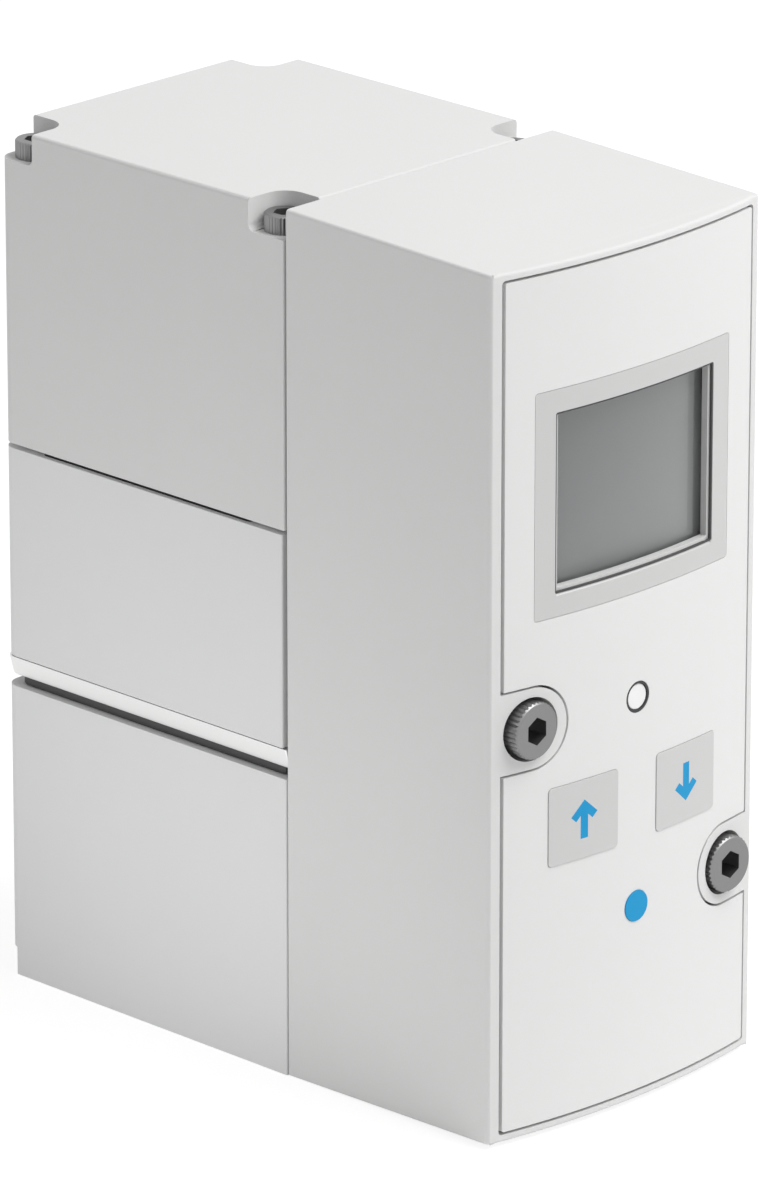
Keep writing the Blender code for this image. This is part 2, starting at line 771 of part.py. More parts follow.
def thread_cutter(name, x, y, low, high):
    """Cutter of an upright bore for an M3 screw."""
    return rod(name, (x, y, low), (x, y, high), M3_BORE, sides=SMALL_STEPS)


def upper_seal(finish):
    """Moulded ring seal in the groove of the middle block."""
    return outline_solid(
        "upper_seal",
        seal_track(SEAL_IN, SEAL_OUT),
        MIDDLE_TOP - SEAL_DEPTH + SEAT_GAP,
        MIDDLE_TOP + SEAT_GAP,
        finish,
    )


def cover_screw_seat():
    """Height of the face that a cover screw's head bears on."""
    return HEIGHT - POCKET_DEPTH


def corner_pocket(index, sx, end):
    """Cutter of the recess for a cover screw's head, open to the side and to the end."""
    x, y = corner_point(sx, end, COVER_SCREW_INSET, COVER_SCREW_INSET)
    sy = -1 if end == "front" else 1
    reach = COVER_SCREW_INSET + OVERSHOOT
    turns = [math.pi / 2 * i / POCKET_STEPS for i in range(POCKET_STEPS + 1)]
    arc = [(-POCKET_RADIUS * math.cos(turn), -POCKET_RADIUS * math.sin(turn)) for turn in turns]
    local = arc + [(reach, -POCKET_RADIUS), (reach, reach), (-POCKET_RADIUS, reach)]
    outline = [(x + sx * u, y + sy * v) for u, v in local]
    return outline_solid(f"pocket_cutter_{index}", [outline], cover_screw_seat(), HEIGHT + OVERSHOOT)


def top_cover(finish):
    """Deep moulded cover over the pilot stage, with a solid post in each corner."""
    piece = outline_solid("top_cover", [body_outline()], COVER_BOTTOM, HEIGHT, finish)
    soften(piece)
    cut(
        piece,
        block(
            "cover_space_cutter",
            (-HALF_WIDTH + WALL, SEAM + SEAM_GAP + CORNER_POST, COVER_BOTTOM - OVERSHOOT),
            (HALF_WIDTH - WALL, REAR - CORNER_POST, HEIGHT - ROOF),
        ),
        block(
            "cover_ends_cutter",
            (-HALF_WIDTH + CORNER_POST, SEAM + SEAM_GAP + WALL, COVER_BOTTOM - OVERSHOOT),
            (HALF_WIDTH - CORNER_POST, REAR - WALL, HEIGHT - ROOF - EDGE_RADIUS),
        ),
        rod(
            "connector_hole_cutter",
            (0, REAR - 2 * WALL, CONNECTOR_Z),
            (0, REAR + OVERSHOOT, CONNECTOR_Z),
            CONNECTOR_RADIUS + FIT_GAP,
        ),
        header_window("cover_window_cutter", SEAM - OVERSHOOT, SEAM + 2 * WALL),
    )
    for i, (sx, end) in enumerate(corner_signs()):
        x, y = corner_point(sx, end, COVER_SCREW_INSET, COVER_SCREW_INSET)
        cut(
            piece,
            corner_pocket(i, sx, end),
            thread_cutter(f"cover_bore_cutter_{i}", x, y, COVER_BOTTOM - OVERSHOOT, HEIGHT),
        )
    return piece


def header_window(name, near, far):
    """Cutter of the slot that the board header passes through."""
    half = HEADER_WIDTH / 2 + FIT_GAP * 2
    middle = VALVE_BOARD_Z + BOARD_THICKNESS / 2
    rise = HEADER_HEIGHT / 2 + FIT_GAP * 2
    return block(name, (-half, near, middle - rise), (half, far, middle + rise))


def shell_form(name, finish=None):
    """Outer form of the front shell: bulged plan with a slight slope on top and below."""
    plan = front_arc(-HALF_WIDTH, HALF_WIDTH)
    corners = [(*plan[0], FRONT_CORNER_RADIUS)]
    corners += [(x, y, 0) for x, y in plan[1:-1]]
    corners += [(*plan[-1], FRONT_CORNER_RADIUS)]
    corners += [(HALF_WIDTH, SEAM - SEAM_GAP, 0), (-HALF_WIDTH, SEAM - SEAM_GAP, 0)]
    form = outline_solid(name, [filleted(corners)], -OVERSHOOT, HEIGHT + OVERSHOOT, finish)
    reach = FRONT_BULGE + OVERSHOOT
    slope_over = (SHELL_DEPTH + reach) / SHELL_DEPTH
    side = [
        (SEAM + OVERSHOOT, 0),
        (SEAM + OVERSHOOT, HEIGHT),
        (SEAM, HEIGHT),
        (FRONT - reach, HEIGHT - TOP_DROP * slope_over),
        (FRONT - reach, BOTTOM_RISE * slope_over),
        (SEAM, 0),
    ]
    return keep(
        form, outline_solid(name + "_side", [side], -WIDTH, WIDTH, axis="X")
    )


def front_shell(finish):
    """Moulded housing of the electronics: walls, a ledge for the panel and two screw posts."""
    piece = soften(shell_form("front_shell", finish))
    panel_half = HALF_WIDTH - RIM
    recess = front_band(
        "recess_cutter",
        panel_half,
        -OVERSHOOT,
        PANEL_THICKNESS + SEAT_GAP,
        BOTTOM_RISE + TOP_RIM,
        HEIGHT - TOP_DROP - TOP_RIM,
    )
    space = block(
        "shell_space_cutter",
        (-HALF_WIDTH + WALL, SHELL_WALL_BACK, BOTTOM_RISE + WALL),
        (HALF_WIDTH - WALL, SEAM + OVERSHOOT, HEIGHT - TOP_DROP - WALL),
    )
    window_half = panel_half - LEDGE_WIDTH
    window = block(
        "shell_window_cutter",
        (-window_half, FRONT - FRONT_BULGE - OVERSHOOT, BOTTOM_RISE + TOP_RIM + LEDGE_WIDTH),
        (window_half, SHELL_WALL_BACK + OVERSHOOT, HEIGHT - TOP_DROP - TOP_RIM - LEDGE_WIDTH),
    )
    for side in ("left", "right"):
        cut(recess, front_post(side + "_recess_post", side, FRONT_POST_RADIUS))
        cut(space, front_post(side + "_space_post", side, FRONT_POST_RADIUS))
        cut(window, front_post(side + "_window_post", side, FRONT_POST_RADIUS))
    cut(piece, recess, space, window)
    for side, (x, z) in front_screw_places().items():
        head_seat = FRONT - FRONT_HEAD_PROUD + FRONT_HEAD_HEIGHT
        cut(
            piece,
            rod(
                side + "_head_cutter",
                (x, FRONT - FRONT_BULGE - OVERSHOOT, z),
                (x, head_seat, z),
                FRONT_POCKET_RADIUS,
            ),
            rod(side + "_shank_cutter", (x, FRONT, z), (x, SEAM + OVERSHOOT, z), M4_BORE, sides=SCREW_STEPS),
        )
    join(piece, *board_rails())
    cut(
        piece,
        outline_solid(
            "gasket_rebate_cutter",
            [gasket_line(SHELL_SEAL_OUT - SEAT_GAP)],
            SEAM - SEAM_GAP - SHELL_SEAL_DEPTH,
            SEAM + OVERSHOOT,
            axis="Y",
        ),
    )
    return piece


def gasket_line(inset):
    """Line of the shell's seal, seen from the back."""
    half = HALF_WIDTH - inset
    return rectangle(-half, half, inset, HEIGHT - inset, SHELL_SEAL_CORNER)


def board_rails():
    """Helpers: ribs on the side walls that the main board rests against."""
    rails = []
    near = SHELL_WALL_BACK - RAIL_LAP
    for sign, label in ((-1, "left"), (1, "right")):
        for end, low in (("low", 2 * RAIL_HEIGHT), ("high", HEIGHT - 3 * RAIL_HEIGHT)):
            inner = sign * (HALF_WIDTH - WALL - RAIL_WIDTH)
            outer = sign * (HALF_WIDTH - WALL + RAIL_LAP)
            x_low, x_high = sorted((inner, outer))
            rail_low = low if end == "high" or sign < 0 else RAIL_HEIGHT
            rails.append(
                block(
                    f"{label}_{end}_rail",
                    (x_low, near, rail_low),
                    (x_high, MAIN_BOARD_Y - FIT_GAP, rail_low + RAIL_HEIGHT),
                )
            )
    return rails


def shell_gasket(finish):
    """Soft frame that seals the shell against the body."""
    return outline_solid(
        "shell_gasket",
        [gasket_line(SHELL_SEAL_OUT), gasket_line(SHELL_SEAL_IN)],
        SEAM - SEAM_GAP - SHELL_SEAL_DEPTH + SEAT_GAP,
        SEAM,
        finish,
        axis="Y",
    )


def front_panel(finish):
    """Bulged front plate, cut out for the screw posts, the display, the lamp and the keys."""
    half = HALF_WIDTH - RIM - PANEL_GAP
    low = BOTTOM_RISE + TOP_RIM + PANEL_GAP
    high = HEIGHT - TOP_DROP - TOP_RIM - PANEL_GAP
    piece = outline_solid(
        "front_panel",
        [rectangle(-half, half, low, high, PANEL_CORNER)],
        FRONT - 2 * FRONT_BULGE,
        FRONT + 2 * FRONT_BULGE,
        finish,
        axis="Y",
    )
    keep(piece, front_band("panel_sheet", HALF_WIDTH, 0, PANEL_THICKNESS, -OVERSHOOT, HEIGHT + OVERSHOOT))
    cut(
        piece,
        front_post("left_panel_post", "left", FRONT_POST_RADIUS + PANEL_GAP),
        front_post("right_panel_post", "right", FRONT_POST_RADIUS + PANEL_GAP),
        across_front("bezel_hole_cutter", bezel_line(SEAT_GAP)),
        across_front("lamp_hole_cutter", circle(0, LAMP_Z, LAMP_RADIUS + LAMP_GAP, PORT_STEPS)),
        across_front("up_hole_cutter", key_line(-KEY_X, KEY_GAP)),
        across_front("down_hole_cutter", key_line(KEY_X, KEY_GAP)),
        across_front("edit_hole_cutter", edit_hole_line()),
    )
    return piece


def edit_hole_line():
    return circle(0, EDIT_KEY_Z, EDIT_KEY_RADIUS + KEY_GAP, PORT_STEPS)


def across_front(name, outline):
    """Helper: an outline seen from the front, run right through the panel."""
    return outline_solid(name, [outline], FRONT - 3 * FRONT_BULGE, FRONT + 3 * FRONT_BULGE, axis="Y")


def bezel_line(grow=0.0):
    return rectangle(
        -BEZEL_WIDTH / 2 - grow,
        BEZEL_WIDTH / 2 + grow,
        BEZEL_Z - BEZEL_HEIGHT / 2 - grow,
        BEZEL_Z + BEZEL_HEIGHT / 2 + grow,
        BEZEL_CORNER,
    )


def window_line(grow=0.0):
    return rectangle(
        -WINDOW_WIDTH / 2 - grow,
        WINDOW_WIDTH / 2 + grow,
        BEZEL_Z - WINDOW_HEIGHT / 2 - grow,
        BEZEL_Z + WINDOW_HEIGHT / 2 + grow,
        WINDOW_CORNER,
    )


def key_line(x, grow=0.0):
    half_wide = KEY_WIDTH / 2 + grow
    half_high = KEY_HEIGHT / 2 + grow
    return rectangle(x - half_wide, x + half_wide, KEY_Z - half_high, KEY_Z + half_high, KEY_CORNER)


def display_bezel(finish):
    """Frame of the display with a step at its back that the lens sits in."""
    piece = outline_solid(
        "display_bezel",
        [bezel_line()],
        FRONT - 2 * FRONT_BULGE,
        FRONT + 2 * FRONT_BULGE,
        finish,
        axis="Y",
    )
    keep(piece, front_band("bezel_sheet", HALF_WIDTH, 0, BEZEL_DEPTH, 0, HEIGHT))
    step = across_front("lens_step_cutter", window_line(LENS_LAP))
    keep(step, front_band("lens_step_sheet", HALF_WIDTH, WINDOW_SINK, BEZEL_DEPTH + OVERSHOOT, 0, HEIGHT))
    cut(piece, across_front("window_cutter", window_line()), step)
    return piece


def display_lens(finish):
    """Clear curved window behind the bezel."""
    piece = outline_solid(
        "display_lens",
        [window_line(LENS_LAP - SEAT_GAP)],
        FRONT - 2 * FRONT_BULGE,
        FRONT + 2 * FRONT_BULGE,
        finish,
        axis="Y",
    )
    front = WINDOW_SINK + SEAT_GAP
    return keep(piece, front_band("lens_sheet", HALF_WIDTH, front, front + LENS_THICKNESS, 0, HEIGHT))


def display_module(finish):
    """Liquid crystal display, seated on the key board."""
    far = KEY_BOARD_Y - FIT_GAP
    half_wide = (WINDOW_WIDTH + LENS_LAP) / 2
    half_high = (WINDOW_HEIGHT + LENS_LAP) / 2
    piece = block(
        "display_module",
        (-half_wide, far - DISPLAY_THICKNESS, BEZEL_Z - half_high),
        (half_wide, far, BEZEL_Z + half_high),
        finish,
    )
    return soften(piece, EDGE_RADIUS / 2)


def status_light_guide(finish):
    """Round light guide from the key board to the face of the panel."""
    return soften(
        rod(
            "status_light_guide",
            (0, front_y(0) + FIT_GAP, LAMP_Z),
            (0, KEY_BOARD_Y - FIT_GAP, LAMP_Z),
            LAMP_RADIUS,
            finish,
            sides=PORT_STEPS,
        ),
        EDGE_RADIUS / 2,
    )


def key_cap(name, outline, flange, x, z, finish):
    """Key with a curved face, a flange behind the panel and a stem that meets its switch."""
    cap = outline_solid(name, [outline], FRONT - 2 * FRONT_BULGE, FRONT + KEY_BACK, finish, axis="Y")
    keep(cap, front_band(name + "_sheet", HALF_WIDTH, -KEY_PROUD, 3 * FRONT_BULGE, 0, HEIGHT))
    soften(cap, EDGE_RADIUS / 3)
    lip = outline_solid(name + "_lip", [flange], FRONT + KEY_BACK - KEY_FLANGE, FRONT + KEY_BACK, axis="Y")
    stem_end = KEY_BOARD_Y - FIT_GAP - SWITCH_HEIGHT - KEY_TRAVEL - SWITCH_SLACK
    stem_start = FRONT + KEY_BACK - KEY_FLANGE / 2
    stem = rod(name + "_stem", (x, stem_start, z), (x, stem_end, z), KEY_STEM_RADIUS, sides=SCREW_STEPS)
    return join(cap, lip, stem)


def keys(finish, edit_finish):
    """Two arrow keys and the round edit key."""
    for label, x in (("up_key", -KEY_X), ("down_key", KEY_X)):
        key_cap(label, key_line(x), key_line(x, KEY_LIP), x, KEY_Z, finish)
    key_cap(
        "edit_key",
        circle(0, EDIT_KEY_Z, EDIT_KEY_RADIUS, PORT_STEPS),
        circle(0, EDIT_KEY_Z, EDIT_KEY_RADIUS + 2 * KEY_LIP, PORT_STEPS),
        0,
        EDIT_KEY_Z,
        edit_finish,
    )


def key_places():
    return {"up": (-KEY_X, KEY_Z), "down": (KEY_X, KEY_Z), "edit": (0, EDIT_KEY_Z)}


def key_switches(finish):
    """Small press switches on the key board, each with a round button on a square body."""
    half = SWITCH_WIDTH / 2
    far = KEY_BOARD_Y - FIT_GAP
    middle = far - SWITCH_HEIGHT / 2
    for label, (x, z) in key_places().items():
        body = block(
            label + "_switch", (x - half, middle, z - half), (x + half, far, z + half), finish
        )
        soften(body, EDGE_RADIUS / 2)
        join(
            body,
            rod(
                label + "_switch_button",
                (x, far - SWITCH_HEIGHT, z),
                (x, middle + SEAT_GAP, z),
                half / 2,
                sides=SMALL_STEPS,
            ),
        )


def key_board(finish):
    """Printed board behind the panel, held on the shell's front wall by its two ends."""
    half = KEY_BOARD_WIDTH / 2
    low = BOTTOM_RISE + WALL + FIT_GAP
    high = HEIGHT - TOP_DROP - WALL - FIT_GAP
    piece = outline_solid(
        "key_board",
        [rectangle(-half, half, low, high, BOARD_CORNER)],
        KEY_BOARD_Y,
        KEY_BOARD_Y + BOARD_THICKNESS,
        finish,
        axis="Y",
    )
    return cut(
        piece,
        front_post("left_key_board_post", "left", FRONT_POST_RADIUS + PANEL_GAP),
        front_post("right_key_board_post", "right", FRONT_POST_RADIUS + PANEL_GAP),
    )


def main_board(finish):
    """Control board across the shell, resting against the rails."""
    half = HALF_WIDTH - WALL - FIT_GAP
    low = BOTTOM_RISE + WALL + FIT_GAP
    high = HEIGHT - TOP_DROP - WALL - FIT_GAP
    piece = outline_solid(
        "main_board",
        [rectangle(-half, half, low, high, BOARD_CORNER)],
        MAIN_BOARD_Y,
        MAIN_BOARD_Y + BOARD_THICKNESS,
        finish,
        axis="Y",
    )
    return cut(
        piece,
        front_post("left_main_board_post", "left", FRONT_POST_RADIUS + PANEL_GAP),
        front_post("right_main_board_post", "right", FRONT_POST_RADIUS + PANEL_GAP),
    )


def hexagon(x, y, width):
    """Points of a hexagon given across its flats."""
    radius = width / math.sqrt(3)
    return [
        (x + radius * math.cos(math.tau * (i + 0.5) / 6), y + radius * math.sin(math.tau * (i + 0.5) / 6))
        for i in range(6)
    ]


def front_screws(finish):
    """Two long M4 socket head screws that hold the shell to the body."""
    for side, (x, z) in front_screw_places().items():
        face = FRONT - FRONT_HEAD_PROUD
        seat = face + FRONT_HEAD_HEIGHT - SEAT_GAP
        tip = front_screw_end()
        reach = tip - face
        piece = turned(
            "front_screw_" + side,
            [
                (0, reach),
                (FRONT_HEAD_RADIUS - M4_CHAMFER, reach),
                (FRONT_HEAD_RADIUS, reach - M4_CHAMFER),
                (FRONT_HEAD_RADIUS, tip - seat),
                (M4_RADIUS, tip - seat),
                (M4_RADIUS, M4_CHAMFER),
                (M4_RADIUS - M4_CHAMFER, 0),
                (0, 0),
            ],
            (x, tip, z),
            finish,
            axis="Y",
            steps=PORT_STEPS,
        )
        cut(
            piece,
            outline_solid(
                side + "_hex_cutter",
                [hexagon(x, z, FRONT_HEX_WIDTH)],
                face - OVERSHOOT,
                face + FRONT_HEAD_HEIGHT / 2,
                axis="Y",
            ),
        )


def cap_screw(name, x, y, top, head_radius, head_height, length, finish, upwards=True):
    """Vertical M3 socket head screw. top is the level of the head's face."""
    total = head_height + length
    profile = [
        (0, 0),
        (head_radius - M3_CHAMFER, 0),
        (head_radius, -M3_CHAMFER),
        (head_radius, -head_height),
        (M3_RADIUS, -head_height),
        (M3_RADIUS, -total + M3_CHAMFER),
        (M3_RADIUS - M3_CHAMFER, -total),
        (0, -total),
    ]
    if not upwards:
        profile = [(radius, -height) for radius, height in reversed(profile)]
    piece = turned(name, profile, (x, y, top), finish, steps=SCREW_STEPS)
    depth = head_height / 2 if upwards else -head_height / 2
    lip = OVERSHOOT if upwards else -OVERSHOOT
    low, high = sorted((top - depth, top + lip))
    return cut(piece, outline_solid(name + "_hex", [hexagon(x, y, M3_HEX_WIDTH)], low, high))


def cover_screws(finish):
    """Four M3 screws from the corner pockets into the middle block."""
    for i, (x, y) in enumerate(cover_screw_points()):
        cap_screw(
            f"cover_screw_{i + 1}",
            x,
            y,
            cover_screw_seat() + SEAT_GAP + COVER_HEAD_HEIGHT,
            COVER_HEAD_RADIUS,
            COVER_HEAD_HEIGHT,
            COVER_SCREW_LENGTH,
            finish,
        )


def base_screws(finish):
    """Four M3 screws from below, through the base block and the plate, into the middle block."""
    for i, (x, y) in enumerate(base_screw_points()):
        cap_screw(
            f"base_screw_{i + 1}",
            x,
            y,
            BASE_HEAD_SINK - SEAT_GAP - BASE_HEAD_HEIGHT,
            BASE_HEAD_RADIUS,
            BASE_HEAD_HEIGHT,
            BASE_SCREW_LENGTH,
            finish,
            upwards=False,
        )


def piston(finish):
    """Regulating piston with its hollow stem, which opens the poppet and vents the outlet."""
    groove_half = PISTON_SEAL_HEIGHT / 2 + SEAT_GAP
    groove_floor = PISTON_SEAL_OUTER - PISTON_SEAL_DEPTH - SEAT_GAP
    middle = PISTON_TOP - PISTON_HEIGHT / 2
    stem_end = VALVE_SEAT - SEAT_GAP / 2
    return turned(
        "regulating_piston",
        [
            (STEM_HOLE, PISTON_TOP),
            (PISTON_RADIUS, PISTON_TOP),
            (PISTON_RADIUS, middle + groove_half),
            (groove_floor, middle + groove_half),
            (groove_floor, middle - groove_half),
            (PISTON_RADIUS, middle - groove_half),
            (PISTON_RADIUS, PISTON_TOP - PISTON_HEIGHT),
            (STEM_RADIUS + STEM_FILLET, PISTON_TOP - PISTON_HEIGHT),
            (STEM_RADIUS, PISTON_TOP - PISTON_HEIGHT - STEM_FILLET),
            (STEM_RADIUS, stem_end),
            (STEM_HOLE, stem_end),
        ],
        (0, VALVE_Y, 0),
        finish,
        ring=True,
        steps=PISTON_STEPS,
    )


def piston_seal(finish):
    """Sealing ring in the piston's groove."""
    middle = PISTON_TOP - PISTON_HEIGHT / 2
    half = PISTON_SEAL_HEIGHT / 2
    inner = PISTON_SEAL_OUTER - PISTON_SEAL_DEPTH
    bend = PISTON_SEAL_BEND
    return turned(
        "piston_seal",
        [
            (inner, middle + half),
            (PISTON_SEAL_OUTER - bend, middle + half),
            (PISTON_SEAL_OUTER, middle + half - bend),
            (PISTON_SEAL_OUTER, middle - half + bend),
            (PISTON_SEAL_OUTER - bend, middle - half),
            (inner, middle - half),
        ],
        (0, VALVE_Y, 0),
        finish,
        ring=True,
        steps=PISTON_STEPS,
    )


def poppet(finish, seal_finish):
    """Supply valve: a disc on a guide stem, with a soft ring on its face."""
    turned(
        "valve_poppet",
        [
            (0, VALVE_SEAT - 3 * FIT_GAP),
            (POPPET_STEM, VALVE_SEAT - 3 * FIT_GAP),
            (POPPET_STEM, POPPET_TOP),
            (POPPET_RADIUS, POPPET_TOP),
            (POPPET_RADIUS, POPPET_TOP - POPPET_THICKNESS),
            (POPPET_STEM, POPPET_TOP - POPPET_THICKNESS),
            (POPPET_STEM, POPPET_STEM_END),
            (0, POPPET_STEM_END),
        ],
        (0, VALVE_Y, 0),
        finish,
    )
    turned(
        "poppet_seal",
        [
            (POPPET_STEM + SEAT_GAP, VALVE_SEAT - 2 * FIT_GAP),
            (POPPET_RADIUS - SEAT_GAP, VALVE_SEAT - 2 * FIT_GAP),
            (POPPET_RADIUS - SEAT_GAP, POPPET_TOP + SEAT_GAP),
            (POPPET_STEM + SEAT_GAP, POPPET_TOP + SEAT_GAP),
        ],
        (0, VALVE_Y, 0),
        seal_finish,
        ring=True,
    )


def poppet_spring(finish):
    """Closing spring between the base plug and the poppet."""
    curve = bpy.data.curves.new("poppet_spring", "CURVE")
    curve.dimensions = "3D"
    curve.bevel_depth = SPRING_WIRE
    curve.bevel_resolution = 1
    curve.use_fill_caps = True
    spline = curve.splines.new("POLY")
    steps = SPRING_TURNS * SPRING_STEPS
    spline.points.add(steps)
    low, high = SPRING_BOTTOM + SPRING_WIRE, SPRING_TOP - SPRING_WIRE
    for i, point in enumerate(spline.points):
        turn = math.tau * SPRING_TURNS * i / steps
        height = low + (high - low) * i / steps
        point.co = (SPRING_RADIUS * math.cos(turn), SPRING_RADIUS * math.sin(turn), height, 1)
    spring = bpy.data.objects.new("poppet_spring", curve)
    spring.location = (0, VALVE_Y, 0)
    bpy.data.collections["electro_pneumatic_regulator"].objects.link(spring)
    curve.materials.append(finish)
    return spring


def bottom_plug(finish, seal_finish):
    """Screw plug that closes the valve bore from below, with its sealing ring."""
    groove_floor = PLUG_RADIUS - PLUG_GROOVE_DEPTH
    guide = POPPET_STEM + FIT_GAP
    piece = turned(
        "bottom_plug",
        [
            (guide, PLUG_TOP),
            (PLUG_RADIUS, PLUG_TOP),
            (PLUG_RADIUS, PLUG_GROOVE_HIGH),
            (groove_floor, PLUG_GROOVE_HIGH),
            (groove_floor, PLUG_GROOVE_LOW),
            (PLUG_RADIUS, PLUG_GROOVE_LOW),
            (PLUG_RADIUS, PLUG_SINK),
            (0, PLUG_SINK),
            (0, POPPET_STEM_END - VALVE_TRAVEL - 3 * SEAT_GAP),
            (guide, POPPET_STEM_END - VALVE_TRAVEL - 3 * SEAT_GAP),
        ],
        (0, VALVE_Y, 0),
        finish,
        ring=True,
    )
    cut(
        piece,
        outline_solid(
            "plug_hex_cutter",
            [hexagon(0, VALVE_Y, PLUG_HEX_WIDTH)],
            PLUG_SINK - OVERSHOOT,
            PLUG_SINK + PLUG_HEX_DEPTH,
        ),
    )
    turned(
        "plug_seal",
        [
            (groove_floor + SEAT_GAP, PLUG_GROOVE_HIGH - SEAT_GAP),
            (PLUG_RADIUS, PLUG_GROOVE_HIGH - SEAT_GAP),
            (PLUG_RADIUS, PLUG_GROOVE_LOW + SEAT_GAP),
            (groove_floor + SEAT_GAP, PLUG_GROOVE_LOW + SEAT_GAP),
        ],
        (0, VALVE_Y, 0),
        seal_finish,
        ring=True,
    )


def exhaust_filter(finish):
    """Sintered disc in the exhaust port."""
    outer = HALF_WIDTH - EXHAUST_FILTER_SINK
    piece = rod(
        "exhaust_filter",
        (outer - EXHAUST_FILTER_THICKNESS, VALVE_Y, EXHAUST_Z),
        (outer, VALVE_Y, EXHAUST_Z),
        PORT_RADIUS - FIT_GAP,
        finish,
        sides=PORT_STEPS,
    )
    return soften(piece)


def pilot_stage(block_finish, valve_finish, sensor_finish):
    """Manifold on the middle block with two pilot valves and the pressure sensor."""
    manifold = outline_solid(
        "pilot_manifold",
        [
            rectangle(
                -PILOT_BLOCK_WIDTH / 2,
                PILOT_BLOCK_WIDTH / 2,
                VALVE_Y - PILOT_BLOCK_DEPTH / 2,
                VALVE_Y + PILOT_BLOCK_DEPTH / 2,
                PILOT_BLOCK_CORNER,
            ),
            circle(-PILOT_VALVE_X, VALVE_Y + PILOT_VALVE_Y, PILOT_BORE, SMALL_STEPS),
            circle(PILOT_VALVE_X, VALVE_Y + PILOT_VALVE_Y, PILOT_BORE, SMALL_STEPS),
            circle(0, VALVE_Y + SENSOR_Y, PILOT_BORE, SMALL_STEPS),
        ],
        MIDDLE_TOP + SEAT_GAP,
        PILOT_BLOCK_TOP,
        block_finish,
    )
    for label, x in (("supply", -PILOT_VALVE_X), ("exhaust", PILOT_VALVE_X)):
        y = VALVE_Y + PILOT_VALVE_Y
        low = PILOT_BLOCK_TOP + SEAT_GAP
        body = block(
            f"pilot_valve_{label}",
            (x - PILOT_VALVE_WIDTH / 2, y - PILOT_VALVE_DEPTH / 2, low),
            (x + PILOT_VALVE_WIDTH / 2, y + PILOT_VALVE_DEPTH / 2, low + PILOT_VALVE_HEIGHT),
            valve_finish,
        )
        soften(body)
        join(
            body,
            rod(
                f"{label}_cap",
                (x, y, low + PILOT_VALVE_HEIGHT - OVERSHOOT),
                (x, y, PILOT_VALVE_TOP),
                PILOT_CAP_RADIUS,
                sides=SCREW_STEPS,
            ),
        )
    low = PILOT_BLOCK_TOP + SEAT_GAP
    turned(
        "pressure_sensor",
        [
            (0, low + SENSOR_HEIGHT),
            (SENSOR_CAP_RADIUS, low + SENSOR_HEIGHT),
            (SENSOR_CAP_RADIUS, low + SENSOR_HEIGHT / 2),
            (SENSOR_RADIUS, low + SENSOR_HEIGHT / 2),
            (SENSOR_RADIUS, low),
            (0, low),
        ],
        (0, VALVE_Y + SENSOR_Y, 0),
        sensor_finish,
        steps=SCREW_STEPS,
    )
    return manifold


def boards_and_header(board_finish, header_finish):
    """Valve board on the pilot valves, pin board at the plug connector and the header in front."""
    half = INNER_BOARD_WIDTH / 2
    near = SEAM + SEAM_GAP + CORNER_POST - WALL
    outline_solid(
        "valve_board",
        [rectangle(-half, half, near, PIN_BOARD_Y - FIT_GAP, BOARD_CORNER)],
        VALVE_BOARD_Z,
        VALVE_BOARD_Z + BOARD_THICKNESS,
        board_finish,
    )
    outline_solid(
        "pin_board",
        [rectangle(-half, half, CONNECTOR_Z - PIN_BOARD_BELOW, HEIGHT - ROOF - WALL, BOARD_CORNER)],
        PIN_BOARD_Y,
        PIN_BOARD_Y + BOARD_THICKNESS,
        board_finish,
        axis="Y",
    )
    middle = VALVE_BOARD_Z + BOARD_THICKNESS / 2
    header = block(
        "board_header",
        (-HEADER_WIDTH / 2, MAIN_BOARD_Y + BOARD_THICKNESS + FIT_GAP, middle - HEADER_HEIGHT / 2),
        (HEADER_WIDTH / 2, near - FIT_GAP, middle + HEADER_HEIGHT / 2),
        header_finish,
    )
    soften(header, EDGE_RADIUS / 2)


def connector_pin_points():
    """Places of the contact pins: four on a circle and one in the middle."""
    points = [
        (
            PIN_CIRCLE * math.cos(math.tau * (i + 0.5) / (PIN_COUNT - 1)),
            PIN_CIRCLE * math.sin(math.tau * (i + 0.5) / (PIN_COUNT - 1)),
        )
        for i in range(PIN_COUNT - 1)
    ]
    return [(x, CONNECTOR_Z + z) for x, z in points + [(0, 0)]]


